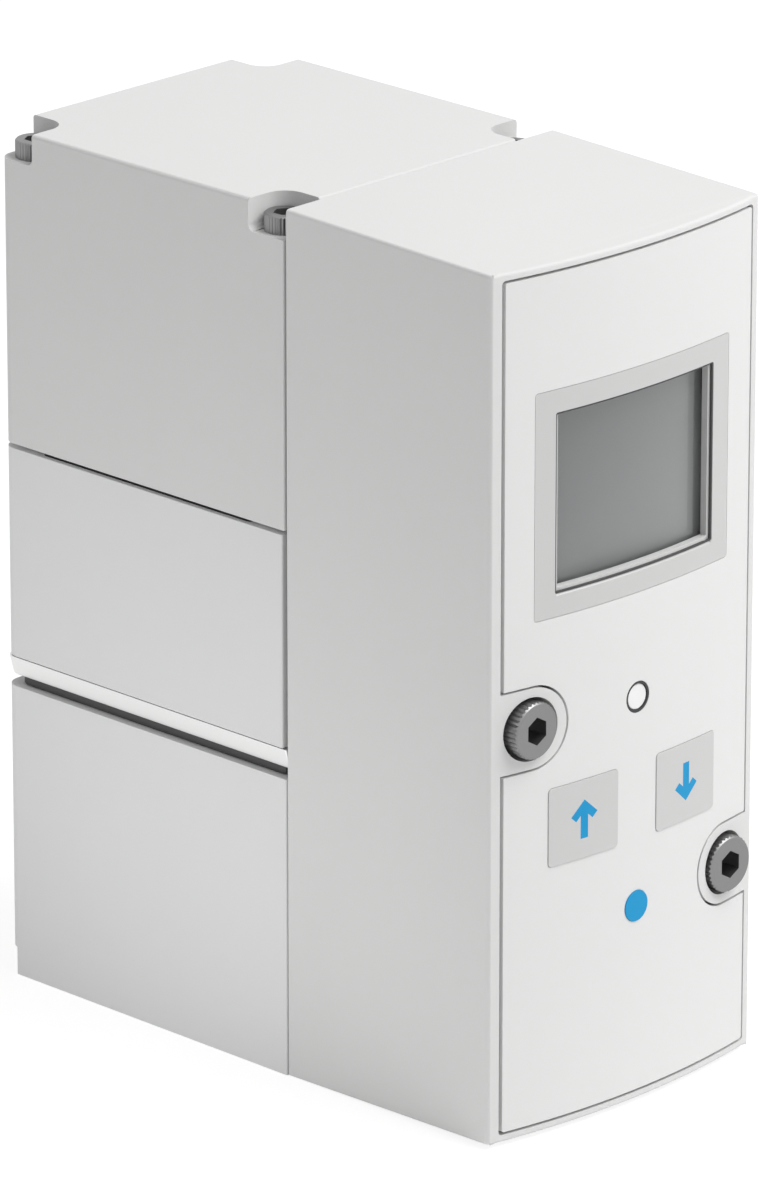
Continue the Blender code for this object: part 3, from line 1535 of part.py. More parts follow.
def plug_connector(shell_finish, insert_finish, pin_finish):
    """M12 plug connector: threaded sleeve, nut inside the cover, moulded insert and pins."""
    end = REAR + CONNECTOR_REACH
    inside = REAR - WALL - NUT_THICKNESS - 2 * SEAT_GAP
    turned(
        "connector_shell",
        [
            (CONNECTOR_BORE, end - inside),
            (CONNECTOR_RADIUS, end - inside),
            (CONNECTOR_RADIUS, end - REAR - SEAT_GAP),
            (CONNECTOR_COLLAR, end - REAR - SEAT_GAP),
            (CONNECTOR_COLLAR, end - REAR - SEAT_GAP - COLLAR_THICKNESS + COLLAR_CHAMFER),
            (CONNECTOR_COLLAR - COLLAR_CHAMFER, end - REAR - SEAT_GAP - COLLAR_THICKNESS),
            (CONNECTOR_RADIUS, end - REAR - SEAT_GAP - COLLAR_THICKNESS),
            (CONNECTOR_RADIUS, COLLAR_CHAMFER),
            (CONNECTOR_RADIUS - COLLAR_CHAMFER, 0),
            (CONNECTOR_BORE, 0),
        ],
        (0, end, CONNECTOR_Z),
        shell_finish,
        axis="Y",
        ring=True,
    )
    outline_solid(
        "connector_nut",
        [hexagon(0, CONNECTOR_Z, NUT_WIDTH), circle(0, CONNECTOR_Z, CONNECTOR_RADIUS + SEAT_GAP)],
        inside + SEAT_GAP,
        REAR - WALL - SEAT_GAP,
        shell_finish,
        axis="Y",
    )
    board_back = PIN_BOARD_Y + BOARD_THICKNESS + FIT_GAP
    outline_solid(
        "connector_insert",
        [circle(0, CONNECTOR_Z, INSERT_RADIUS)]
        + [circle(x, z, PIN_RADIUS + SEAT_GAP, PIN_STEPS) for x, z in connector_pin_points()],
        board_back,
        REAR + INSERT_FRONT,
        insert_finish,
        axis="Y",
    )
    for i, (x, z) in enumerate(connector_pin_points()):
        tip = (x, REAR + PIN_END, z)
        rod(f"contact_pin_{i + 1}", (x, board_back, z), tip, PIN_RADIUS, pin_finish, sides=PIN_STEPS)


def build():
    start_scene()
    shell_grey = finish_of("shell_grey", (0.78, 0.78, 0.78), 0.45)
    body_grey = finish_of("body_grey", (0.74, 0.74, 0.75), 0.5)
    band_grey = finish_of("band_grey", (0.85, 0.85, 0.85), 0.4)
    panel_grey = finish_of("panel_grey", (0.8, 0.8, 0.8), 0.4)
    bezel_grey = finish_of("bezel_grey", (0.68, 0.68, 0.68), 0.45)
    key_grey = finish_of("key_grey", (0.62, 0.62, 0.62), 0.6)
    key_blue = finish_of("key_blue", (0.01, 0.35, 0.66), 0.5)
    seal_black = finish_of("seal_black", (0.02, 0.02, 0.02), 0.8)
    screw_steel = finish_of("screw_steel", (0.45, 0.45, 0.45), 0.35, 1.0)
    lens_clear = finish_of("lens_clear", (0.6, 0.62, 0.62), 0.1, 0.0, 0.4)
    display_grey = finish_of("display_grey", (0.2, 0.21, 0.21), 0.3)
    lamp_white = finish_of("lamp_white", (0.95, 0.95, 0.95), 0.3)
    board_green = finish_of("board_green", (0.02, 0.2, 0.08), 0.5)
    part_black = finish_of("part_black", (0.03, 0.03, 0.03), 0.5)
    brass = finish_of("brass", (0.75, 0.55, 0.25), 0.3, 1.0)
    nickel = finish_of("nickel", (0.65, 0.63, 0.6), 0.3, 1.0)
    lower_block(body_grey)
    base_gasket(seal_black)
    intermediate_plate(band_grey)
    middle_block(body_grey)
    upper_seal(seal_black)
    top_cover(shell_grey)
    front_shell(shell_grey)
    shell_gasket(seal_black)
    front_panel(panel_grey)
    display_bezel(bezel_grey)
    display_lens(lens_clear)
    display_module(display_grey)
    status_light_guide(lamp_white)
    keys(key_grey, key_blue)
    key_switches(part_black)
    key_board(board_green)
    main_board(board_green)
    front_screws(screw_steel)
    cover_screws(screw_steel)
    base_screws(screw_steel)
    piston(nickel)
    piston_seal(seal_black)
    poppet(brass, seal_black)
    poppet_spring(screw_steel)
    bottom_plug(nickel, seal_black)
    exhaust_filter(brass)
    pilot_stage(part_black, part_black, nickel)
    boards_and_header(board_green, part_black)
    plug_connector(nickel, part_black, brass)


build()
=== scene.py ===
"""Electro pneumatic regulator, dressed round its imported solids. Metres, X right, Y back, Z up."""

import json
import math

import bmesh
import bpy
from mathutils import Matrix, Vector

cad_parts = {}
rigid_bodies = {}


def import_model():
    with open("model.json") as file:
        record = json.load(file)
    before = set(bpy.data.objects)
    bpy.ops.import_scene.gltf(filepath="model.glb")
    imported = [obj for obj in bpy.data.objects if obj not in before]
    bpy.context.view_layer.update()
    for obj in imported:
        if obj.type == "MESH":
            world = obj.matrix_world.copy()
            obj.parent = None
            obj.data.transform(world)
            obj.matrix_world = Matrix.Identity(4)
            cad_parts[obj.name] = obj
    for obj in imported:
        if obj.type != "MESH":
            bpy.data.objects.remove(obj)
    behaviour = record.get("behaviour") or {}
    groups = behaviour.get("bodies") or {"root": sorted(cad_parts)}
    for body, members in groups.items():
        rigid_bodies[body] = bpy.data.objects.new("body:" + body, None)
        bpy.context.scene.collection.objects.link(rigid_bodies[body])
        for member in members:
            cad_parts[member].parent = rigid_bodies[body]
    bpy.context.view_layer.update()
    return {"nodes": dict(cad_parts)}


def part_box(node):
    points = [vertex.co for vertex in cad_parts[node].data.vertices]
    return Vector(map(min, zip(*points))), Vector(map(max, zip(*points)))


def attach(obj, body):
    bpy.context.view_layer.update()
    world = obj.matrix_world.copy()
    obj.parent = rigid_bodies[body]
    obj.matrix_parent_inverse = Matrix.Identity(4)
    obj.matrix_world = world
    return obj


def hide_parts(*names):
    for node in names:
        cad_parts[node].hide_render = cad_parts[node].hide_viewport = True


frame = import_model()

MM = 0.001

# Camera. It stands to the left of the front and a little above the cover, more than ten times the
# height of the housing away, so that the upright edges stay almost parallel.
camera_azimuth = math.radians(-45.5)
camera_elevation = math.radians(19.5)
camera_distance = 1150 * MM
camera_target = Vector((0, -5.3 * MM, 52.8 * MM))
backward = Vector((
    math.sin(camera_azimuth) * math.cos(camera_elevation),
    -math.cos(camera_azimuth) * math.cos(camera_elevation),
    math.sin(camera_elevation),
))
bpy.ops.object.camera_add(
    location=camera_target + backward * camera_distance,
    rotation=backward.to_track_quat("Z", "Y").to_euler(),
)
camera = bpy.context.object
camera.name = "camera"
camera.data.sensor_fit = "VERTICAL"
camera.data.sensor_height = 36
camera.data.lens = 289
camera.data.clip_end = 20
bpy.context.scene.camera = camera
bpy.context.scene.view_settings.view_transform = "Standard"


# Studio. A wide white sheet lies under the regulator in a white room, and both look brighter than
# they shine on it. A soft lamp stands high on the right of the front, a weak one low on the left.
def seen_rays(nodes, links):
    """A socket that is one for what is seen directly, in a glossy face or through plastic."""
    rays = nodes.new("ShaderNodeLightPath")
    direct = nodes.new("ShaderNodeMath")
    direct.operation = "MAXIMUM"
    seen = nodes.new("ShaderNodeMath")
    seen.operation = "MAXIMUM"
    links.new(rays.outputs["Is Camera Ray"], direct.inputs[0])
    links.new(rays.outputs["Is Glossy Ray"], direct.inputs[1])
    links.new(direct.outputs[0], seen.inputs[0])
    links.new(rays.outputs["Is Transmission Ray"], seen.inputs[1])
    return seen.outputs[0]


bpy.ops.object.select_all(action="DESELECT")
bpy.ops.mesh.primitive_plane_add(size=12, location=(0, 0, 0))
floor = bpy.context.object
floor.name = "floor"
paper = bpy.data.materials.new("white_paper")
paper.use_nodes = True
paper_nodes, paper_links = paper.node_tree.nodes, paper.node_tree.links
paper_nodes.remove(paper_nodes["Principled BSDF"])
paper_matt = paper_nodes.new("ShaderNodeBsdfDiffuse")
paper_matt.inputs["Color"].default_value = (0.92, 0.92, 0.92, 1)
paper_glow = paper_nodes.new("ShaderNodeEmission")
paper_glow.inputs["Strength"].default_value = 1.2
paper_share = paper_nodes.new("ShaderNodeMath")
paper_share.operation = "MULTIPLY"
paper_share.inputs[1].default_value = 0.7
paper_mix = paper_nodes.new("ShaderNodeMixShader")
paper_links.new(seen_rays(paper_nodes, paper_links), paper_share.inputs[0])
paper_links.new(paper_share.outputs[0], paper_mix.inputs[0])
paper_links.new(paper_matt.outputs[0], paper_mix.inputs[1])
paper_links.new(paper_glow.outputs[0], paper_mix.inputs[2])
paper_links.new(paper_mix.outputs[0], paper_nodes["Material Output"].inputs["Surface"])
floor.data.materials.append(paper)

room = bpy.data.worlds.new("white_room")
bpy.context.scene.world = room
room.use_nodes = True
room_nodes, room_links = room.node_tree.nodes, room.node_tree.links
room_light = room_nodes["Background"]
room_light.inputs["Color"].default_value = (1, 1, 1, 1)
room_light.inputs["Strength"].default_value = 0.43
room_seen = room_nodes.new("ShaderNodeBackground")
room_seen.inputs["Color"].default_value = (1, 1, 1, 1)
room_seen.inputs["Strength"].default_value = 1.0
room_mix = room_nodes.new("ShaderNodeMixShader")
room_links.new(seen_rays(room_nodes, room_links), room_mix.inputs[0])
room_links.new(room_light.outputs[0], room_mix.inputs[1])
room_links.new(room_seen.outputs[0], room_mix.inputs[2])
room_links.new(room_mix.outputs[0], room_nodes["World Output"].inputs["Surface"])

for lamp_name, towards, reach, lamp_size, watts in (
    ("high_lamp", (0.30, -0.46, 0.83), 1.1, 0.7, 9.2),
    ("low_lamp", (-0.90, 0.10, -0.42), 0.11, 0.04, 0.02),
):
    direction = Vector(towards).normalized()
    bpy.ops.object.light_add(
        type="AREA",
        location=camera_target + direction * reach,
        rotation=direction.to_track_quat("Z", "Y").to_euler(),
    )
    lamp = bpy.context.object
    lamp.name = lamp_name
    lamp.data.size = lamp_size
    lamp.data.energy = watts
    lamp.visible_camera = False

# Base block. It is die-cast, machined on its faces and coated light grey. Two ports for fittings
# are tapped in its back, and a plug closes the valve bore from below.
HALF_WIDTH = 22.5 * MM
CAST_GREY = (0.83, 0.83, 0.83)
REAR_ROUNDING, FRONT_ROUNDING = 2.2 * MM, 0.25 * MM
REBATE_DEPTH, REBATE_HEIGHT = 1.6 * MM, 3.5 * MM
SCREW_BORE, FRONT_BORE, FRONT_BORE_END = 1.6 * MM, 2.15 * MM, 2.5 * MM
PORT_X, PORT_Z = 10.5 * MM, 16.5 * MM
PORT_FACE, PORT_BORE, PORT_DEPTH = 7.2 * MM, 4.4 * MM, 10 * MM
PORT_THREAD, THREAD_START = (4.3 * MM, 4.82 * MM, 0.907 * MM), 1.1 * MM
VALVE_BORE = 7 * MM
PAST = 1 * MM
HAIR, NEAR = 0.001 * MM, 0.01 * MM


def new_block(name, low, high):
    """A cube at its size and place."""
    bpy.ops.object.select_all(action="DESELECT")
    low, high = Vector(low), Vector(high)
    bpy.ops.mesh.primitive_cube_add(size=1, location=(low + high) / 2)
    piece = bpy.context.object
    piece.name = name
    piece.scale = high - low
    bpy.ops.object.transform_apply(location=True, rotation=True, scale=True)
    return piece


def new_bar(name, start, end, radius, sides=96, end_radius=None):
    """A round bar, or a cone, between two points."""
    bpy.ops.object.select_all(action="DESELECT")
    start, end = Vector(start), Vector(end)
    bpy.ops.mesh.primitive_cone_add(
        vertices=sides,
        radius1=radius,
        radius2=radius if end_radius is None else end_radius,
        depth=(end - start).length,
        location=(start + end) / 2,
        rotation=(end - start).to_track_quat("Z", "Y").to_euler(),
    )
    piece = bpy.context.object
    piece.name = name
    bpy.ops.object.transform_apply(location=True, rotation=True, scale=True)
    return piece


def upright_bar(name, x, y, low, high, radius, sides=96):
    """A round bar that stands upright."""
    return new_bar(name, (x, y, low), (x, y, high), radius, sides)


def level_bar(name, x, z, near, far, radius, sides=96):
    """A round bar that runs from front to back."""
    return new_bar(name, (x, near, z), (x, far, z), radius, sides)


def edit_edges(piece, chosen):
    """Opens the piece in edit mode with only the edges that pass the test selected."""
    bpy.ops.object.select_all(action="DESELECT")
    piece.select_set(True)
    bpy.context.view_layer.objects.active = piece
    bpy.ops.object.mode_set(mode="EDIT")
    bpy.ops.mesh.select_mode(type="EDGE")
    bpy.ops.mesh.select_all(action="DESELECT")
    form = bmesh.from_edit_mesh(piece.data)
    for edge in form.edges:
        edge.select_set(chosen(edge.verts[0].co, edge.verts[1].co))
    bmesh.update_edit_mesh(piece.data)


def round_chosen(piece, width, segments, chosen):
    """Rounds the edges whose two ends pass the test."""
    edit_edges(piece, chosen)
    bpy.ops.mesh.bevel(offset=width, segments=segments, affect="EDGES")
    bpy.ops.object.mode_set(mode="OBJECT")
    return piece


def round_along(piece, width, segments, place, axis=2):
    """Rounds the edges that run along an axis and whose middle passes the test."""
    others = [i for i in range(3) if i != axis]

    def chosen(a, b):
        straight = all(abs(a[i] - b[i]) < HAIR for i in others)
        return straight and place((a + b) / 2)

    return round_chosen(piece, width, segments, chosen)


def round_corners(piece):
    """Rounds the upright edges of a block, widely at its back and finely at its front."""
    round_along(piece, REAR_ROUNDING, 8, lambda p: p.y > 0)
    round_along(piece, FRONT_ROUNDING, 3, lambda p: p.y < 0)


def apply_steps(piece):
    """Applies the modifiers of a piece in their order."""
    bpy.ops.object.select_all(action="DESELECT")
    piece.select_set(True)
    bpy.context.view_layer.objects.active = piece
    for step in list(piece.modifiers):
        bpy.ops.object.modifier_apply(modifier=step.name)
    return piece


def carve(piece, *cutters, how="DIFFERENCE"):
    """Takes the cutters out of the piece, or joins or keeps them, and removes them."""
    for cutter in cutters:
        step = piece.modifiers.new("carve", "BOOLEAN")
        step.operation = how
        step.object = cutter
    apply_steps(piece)
    for cutter in cutters:
        bpy.data.objects.remove(cutter)
    return piece


def round_edges(piece, width, segments=3, limit=35):
    """Rounds every edge that is sharper than the limit."""
    step = piece.modifiers.new("edges", "BEVEL")
    step.width = width
    step.segments = segments
    step.limit_method = "ANGLE"
    step.angle_limit = math.radians(limit)
    step.miter_outer = "MITER_ARC"
    return apply_steps(piece)


def port_cutters(mouth, inward):
    """The spot face and the bore of a tapped port."""
    outside = mouth - inward * (2 * MM)
    return (
        new_bar("spot_face", mouth + inward * (0.4 * MM), outside, PORT_FACE),
        new_bar("port_bore", mouth + inward * PORT_DEPTH, outside, PORT_BORE),
    )


def ridged_bar(name, mouth, inward, inner, outer, pitch, count, sides=72):
    """A bar with ridges round it, from its mouth inwards, which cuts or makes a thread."""
    bpy.ops.object.select_all(action="DESELECT")
    bpy.ops.mesh.primitive_circle_add(vertices=sides, radius=inner, fill_type="NGON")
    piece = bpy.context.object
    piece.name = name
    bpy.ops.object.mode_set(mode="EDIT")
    bpy.ops.mesh.select_all(action="SELECT")
    flank, flat = 0.38 * pitch, 0.12 * pitch
    ridge = ((flank, outer / inner), (flat, 1), (flank, inner / outer), (flat, 1))
    for rise, size in ridge * count:
        bpy.ops.mesh.extrude_region_move(TRANSFORM_OT_translate={"value": (0, 0, rise)})
        bpy.ops.transform.resize(value=(size, size, 1))
    bpy.ops.mesh.select_all(action="SELECT")
    bpy.ops.mesh.normals_make_consistent(inside=False)
    bpy.ops.object.mode_set(mode="OBJECT")
    piece.rotation_euler = Vector(inward).to_track_quat("Z", "Y").to_euler()
    piece.location = mouth
    bpy.ops.object.transform_apply(location=True, rotation=True, scale=True)
    return piece


def grained(
    name, colour, *, roughness, grain, height,
    mottle=0.02, metallic=0.0, specular=0.5, stretch=(1, 1, 1),
):
    """A finish with a fine surface grain, slow changes of tone and uneven gloss."""
    finish = bpy.data.materials.new(name)
    finish.use_nodes = True
    nodes, links = finish.node_tree.nodes, finish.node_tree.links
    shader = nodes["Principled BSDF"]
    shader.inputs["Metallic"].default_value = metallic
    shader.inputs["Specular IOR Level"].default_value = specular
    place = nodes.new("ShaderNodeTexCoord")
    spread = nodes.new("ShaderNodeMapping")
    spread.inputs["Scale"].default_value = stretch
    links.new(place.outputs["Object"], spread.inputs["Vector"])
    cloud = nodes.new("ShaderNodeTexNoise")
    cloud.inputs["Scale"].default_value = 55
    cloud.inputs["Detail"].default_value = 5
    links.new(spread.outputs["Vector"], cloud.inputs["Vector"])
    tone = nodes.new("ShaderNodeMix")
    tone.data_type = "RGBA"
    tone.inputs["A"].default_value = (*[c * (1 - mottle) for c in colour], 1)
    tone.inputs["B"].default_value = (*[min(1.0, c * (1 + mottle)) for c in colour], 1)
    links.new(cloud.outputs["Fac"], tone.inputs["Factor"])
    links.new(tone.outputs["Result"], shader.inputs["Base Color"])
    speck = nodes.new("ShaderNodeTexNoise")
    speck.inputs["Scale"].default_value = grain
    speck.inputs["Detail"].default_value = 2
    links.new(spread.outputs["Vector"], speck.inputs["Vector"])
    gloss = nodes.new("ShaderNodeMapRange")
    gloss.inputs["To Min"].default_value = roughness - 0.05
    gloss.inputs["To Max"].default_value = roughness + 0.05
    links.new(speck.outputs["Fac"], gloss.inputs["Value"])
    links.new(gloss.outputs["Result"], shader.inputs["Roughness"])
    relief = nodes.new("ShaderNodeBump")
    relief.inputs["Distance"].default_value = height
    links.new(speck.outputs["Fac"], relief.inputs["Height"])
    links.new(relief.outputs["Normal"], shader.inputs["Normal"])
    return finish


def settle(piece, body, slot, finish, *nodes):
    """Gives the finished piece its shading, finish and body, and hides what it stands for. The slot
    is not used.
    """
    bpy.ops.object.select_all(action="DESELECT")
    piece.select_set(True)
    bpy.context.view_layer.objects.active = piece
    bpy.ops.object.shade_smooth_by_angle(angle=math.radians(40))
    flats = piece.modifiers.new("flats", "WEIGHTED_NORMAL")
    flats.keep_sharp = True
    flats.weight = 100
    apply_steps(piece)
    piece.data.materials.clear()
    piece.data.materials.append(finish)
    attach(piece, body)
    if nodes:
        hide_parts(*nodes)
    return piece


def screw_places(kind):
    """The middle of each of four upright screws and the heights of its two ends."""
    boxes = [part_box(f"{kind}_{i}") for i in range(1, 5)]
    return [((a.x + b.x) / 2, (a.y + b.y) / 2, a.z, b.z) for a, b in boxes]


cast_coat = grained(
    "cast_coat", CAST_GREY, roughness=0.62, grain=2600, height=0.012 * MM, mottle=0.015, specular=0.3
)
base_low, base_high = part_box("lower_block")
REAR = base_high.y
VALVE_Y = (base_low.y + REAR) / 2 - 0.075 * MM
base_screws = screw_places("base_screw")
right_screw_low, right_screw_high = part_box("front_screw_right")
right_x, right_z = ((right_screw_low + right_screw_high) / 2).xz
lower_block = new_block("lower_block_cast", base_low, base_high)
round_corners(lower_block)
carve(
    lower_block,
    new_block(
        "rebate",
        (-30 * MM, REAR - REBATE_DEPTH, -PAST),
        (30 * MM, REAR + PAST, REBATE_HEIGHT),
    ),
    upright_bar("outlet_bore", 0, VALVE_Y, 27 * MM, 40 * MM, VALVE_BORE),
    upright_bar("seat_bore", 0, VALVE_Y, 23 * MM, 28 * MM, 3.5 * MM),
    upright_bar("poppet_bore", 0, VALVE_Y, 9 * MM, 24 * MM, 6.5 * MM),
    upright_bar("plug_bore", 0, VALVE_Y, -PAST, 9.6 * MM, 8.1 * MM),
)
for sign in (-1, 1):
    carve(lower_block, *port_cutters(Vector((sign * PORT_X, REAR, PORT_Z)), Vector((0, -1, 0))))
for x, y, _, _ in base_screws:
    carve(
        lower_block,
        upright_bar("screw_bore", x, y, -PAST, 40 * MM, SCREW_BORE, sides=48),
        upright_bar("head_bore", x, y, -PAST, 3.4 * MM, 2.9 * MM, sides=64),
    )
for y in (base_low.y + 7.35 * MM, REAR - 7.5 * MM):
    carve(lower_block, upright_bar("mount_bore", 0, y, -PAST, 7 * MM, 1.65 * MM, sides=48))
carve(
    lower_block,
    level_bar("front_bore", right_x, right_z, -20 * MM, FRONT_BORE_END, FRONT_BORE, sides=48),
)
round_edges(lower_block, 0.2 * MM)
for sign in (-1, 1):
    port = Vector((sign * PORT_X, REAR - THREAD_START, PORT_Z))
    duct_end = (0, VALVE_Y, PORT_Z if sign < 0 else 32 * MM)
    carve(
        lower_block,
        ridged_bar("port_thread", port, (0, -1, 0), *PORT_THREAD, 9),
        new_bar("duct", port + Vector((0, -6 * MM, 0)), duct_end, 2.4 * MM, sides=48),
    )
settle(lower_block, "housing", "body_coating", cast_coat, "lower_block")

# Base plug and supply valve. A nickel-plated screw plug with a rubber ring closes the bore from
# below. Its hollow middle guides the brass poppet, which a steel spring holds on its seat.
NICKEL_GREY = (0.62, 0.60, 0.56)
BRASS_YELLOW = (0.72, 0.50, 0.22)
STEEL_GREY = (0.52, 0.52, 0.53)
RUBBER_BLACK = (0.018, 0.018, 0.019)
GROOVE_LOW, GROOVE_HIGH = 5.2 * MM, 7.2 * MM


def turned_metal(name, colour, roughness, lay=900):
    """A turned metal with fine tool rings, stains and uneven gloss."""
    finish = grained(
        name, colour, roughness=roughness, grain=1400, height=0.004 * MM, mottle=0.05, metallic=1.0
    )
    nodes, links = finish.node_tree.nodes, finish.node_tree.links
    place = next(n for n in nodes if n.type == "MAPPING")
    rings = nodes.new("ShaderNodeTexWave")
    rings.wave_type = "BANDS"
    rings.bands_direction = "DIAGONAL"
    rings.inputs["Scale"].default_value = lay
    rings.inputs["Distortion"].default_value = 1.5
    links.new(place.outputs["Vector"], rings.inputs["Vector"])
    relief = nodes.new("ShaderNodeBump")
    relief.inputs["Strength"].default_value = 0.25
    relief.inputs["Distance"].default_value = 0.006 * MM
    links.new(rings.outputs["Fac"], relief.inputs["Height"])
    first = next(n for n in nodes if n.type == "BUMP" and n != relief)
    links.new(first.outputs["Normal"], relief.inputs["Normal"])
    links.new(relief.outputs["Normal"], nodes["Principled BSDF"].inputs["Normal"])
    return finish


def finish_node(name, finish):
    """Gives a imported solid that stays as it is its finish."""
    solid = frame["nodes"][name]
    for place in solid.material_slots:
        place.material = finish


def six_sides(name, x, y, low, high, across):
    """An upright hexagonal bar given across its flats."""
    return upright_bar(name, x, y, low, high, across / math.sqrt(3), sides=6)


nickel = turned_metal("nickel_plate", NICKEL_GREY, 0.28)
brass = turned_metal("turned_brass", BRASS_YELLOW, 0.30)
spring_steel = turned_metal("drawn_steel", STEEL_GREY, 0.35)
rubber = grained(
    "black_rubber", RUBBER_BLACK, roughness=0.62, grain=1800, height=0.01 * MM, mottle=0.15
)
plug_low, plug_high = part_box("bottom_plug")
bottom_plug = upright_bar("plug_turning", 0, VALVE_Y, plug_low.z, plug_high.z, 8 * MM)
collar = upright_bar("groove", 0, VALVE_Y, GROOVE_LOW, GROOVE_HIGH, 9 * MM)
carve(collar, upright_bar("groove_floor", 0, VALVE_Y, 5 * MM, 8 * MM, 6.5 * MM))
carve(
    bottom_plug,
    collar,
    upright_bar("guide", 0, VALVE_Y, GROOVE_LOW, 12 * MM, 1.55 * MM, sides=48),
    six_sides("plug_hex", 0, VALVE_Y, -PAST, 3 * MM, across=5 * MM),
)
round_edges(bottom_plug, 0.3 * MM)
settle(bottom_plug, "housing", "nickel", nickel, "bottom_plug")
finish_node("plug_seal", rubber)
finish_node("valve_poppet", brass)
finish_node("poppet_seal", rubber)
finish_node("poppet_spring", spring_steel)

# Base gasket and intermediate plate. A dark grey rubber sheet lies on the base block, set in from
# the sides. The plate over it is planed aluminium, and its sides lean out to the block above.
GASKET_GREY = (0.06, 0.06, 0.06)
PLANED_GREY = (0.80, 0.80, 0.795)
PLATE_LEAN = 0.7 * MM
PLATE_ROUNDING = 1.6 * MM


def shift_chosen(piece, move, chosen):
    """Moves the edges whose two ends pass the test."""
    edit_edges(piece, chosen)
    bpy.ops.transform.translate(value=move)
    bpy.ops.object.mode_set(mode="OBJECT")


plate_metal = grained(
    "planed_aluminium", PLANED_GREY, roughness=0.34, grain=1500, height=0.003 * MM,
    metallic=1.0, stretch=(1, 0.08, 1),
)
grey_rubber = grained(
    "grey_rubber", GASKET_GREY, roughness=0.62, grain=1800, height=0.01 * MM, mottle=0.1
)
finish_node("base_gasket", grey_rubber)
plate_low, plate_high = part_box("intermediate_plate")
band_plate = new_block("plate_planed", plate_low, plate_high)
for sign in (-1, 1):
    shift_chosen(
        band_plate,
        (-sign * PLATE_LEAN, 0, 0),
        lambda a, b: max(a.z, b.z) < plate_low.z + NEAR and min(a.x * sign, b.x * sign) > 0,
    )
for sign, width, segments in ((1, PLATE_ROUNDING, 6), (-1, FRONT_ROUNDING, 3)):
    round_chosen(
        band_plate,
        width,
        segments,
        lambda a, b: abs(a.z - b.z) > 1 * MM and (a.y > 0) == (sign > 0),
    )
carve(band_plate, upright_bar("plate_bore", 0, VALVE_Y, 30 * MM, 50 * MM, VALVE_BORE))
for x, y, _, _ in base_screws:
    carve(band_plate, upright_bar("plate_screw", x, y, 30 * MM, 50 * MM, SCREW_BORE, sides=48))
round_edges(band_plate, 0.12 * MM, segments=2)
settle(band_plate, "housing", "band_metal", plate_metal, "intermediate_plate")

# Middle block. It is cast and coated like the base, holds the piston in its bore, and vents
# through a tapped port on its right side with a sintered filter behind the thread.
BRONZE_BROWN = (0.46, 0.37, 0.24)
MIDDLE_SETBACK = 0.3 * MM
PISTON_BORE, STEM_BORE = 13 * MM, 3.2 * MM


def merged_copy(node, name):
    """A joined-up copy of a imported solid, to shape its neighbour with."""
    bpy.ops.object.select_all(action="DESELECT")
    frame["nodes"][node].select_set(True)
    bpy.context.view_layer.objects.active = frame["nodes"][node]
    bpy.ops.object.duplicate()
    piece = bpy.context.object
    piece.name = name
    bpy.ops.object.parent_clear(type="CLEAR_KEEP_TRANSFORM")
    bpy.ops.object.transform_apply(location=True, rotation=True, scale=True)
    bpy.ops.object.mode_set(mode="EDIT")
    bpy.ops.mesh.select_all(action="SELECT")
    bpy.ops.mesh.remove_doubles(threshold=HAIR)
    bpy.ops.object.mode_set(mode="OBJECT")
    return piece


middle_low, middle_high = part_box("middle_block")
filter_low, filter_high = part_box("exhaust_filter")
EXHAUST_Z = (filter_low.z + filter_high.z) / 2
exhaust = Vector((HALF_WIDTH, VALVE_Y, EXHAUST_Z))
cover_screws = screw_places("cover_screw")
left_screw_low, left_screw_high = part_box("front_screw_left")
left_x, left_z = ((left_screw_low + left_screw_high) / 2).xz
middle_low += Vector((0, MIDDLE_SETBACK, 0))
middle_block = new_block("middle_block_cast", middle_low, middle_high)
round_corners(middle_block)
carve(
    middle_block,
    upright_bar("piston_bore", 0, VALVE_Y, middle_low.z + 4.6 * MM, 80 * MM, PISTON_BORE, sides=128),
    upright_bar("stem_bore", 0, VALVE_Y, 30 * MM, 60 * MM, STEM_BORE, sides=64),
    *port_cutters(exhaust, Vector((-1, 0, 0))),
    level_bar("left_bore", left_x, left_z, -20 * MM, FRONT_BORE_END, FRONT_BORE, sides=48),
)
for x, y, bottom, _ in cover_screws:
    tapping = upright_bar("tapping", x, y, bottom - 0.3 * MM, 80 * MM, SCREW_BORE, sides=48)
    carve(middle_block, tapping)
for x, y, _, top in base_screws:
    tapping = upright_bar("tapping", x, y, 30 * MM, top + 0.3 * MM, SCREW_BORE, sides=48)
    carve(middle_block, tapping)
carve(middle_block, merged_copy("upper_seal", "seal_groove"))
round_edges(middle_block, 0.14 * MM, segments=2)
thread_mouth = exhaust + Vector((-THREAD_START, 0, 0))
carve(middle_block, ridged_bar("exhaust_thread", thread_mouth, (-1, 0, 0), *PORT_THREAD, 4))
settle(middle_block, "housing", "body_coating", cast_coat, "middle_block")
finish_node("upper_seal", rubber)
finish_node("regulating_piston", plate_metal)
finish_node("piston_seal", rubber)

sintered = grained(
    "sintered_bronze", BRONZE_BROWN, roughness=0.6, grain=5200, height=0.09 * MM, mottle=0.3,
    metallic=0.7,
)
exhaust_filter = new_bar(
    "filter_disc",
    (filter_low.x, VALVE_Y, EXHAUST_Z),
    (filter_high.x, VALVE_Y, EXHAUST_Z),
    4.25 * MM,
    sides=64,
)
round_edges(exhaust_filter, 0.35 * MM)
settle(exhaust_filter, "housing", "brass", sintered, "exhaust_filter")

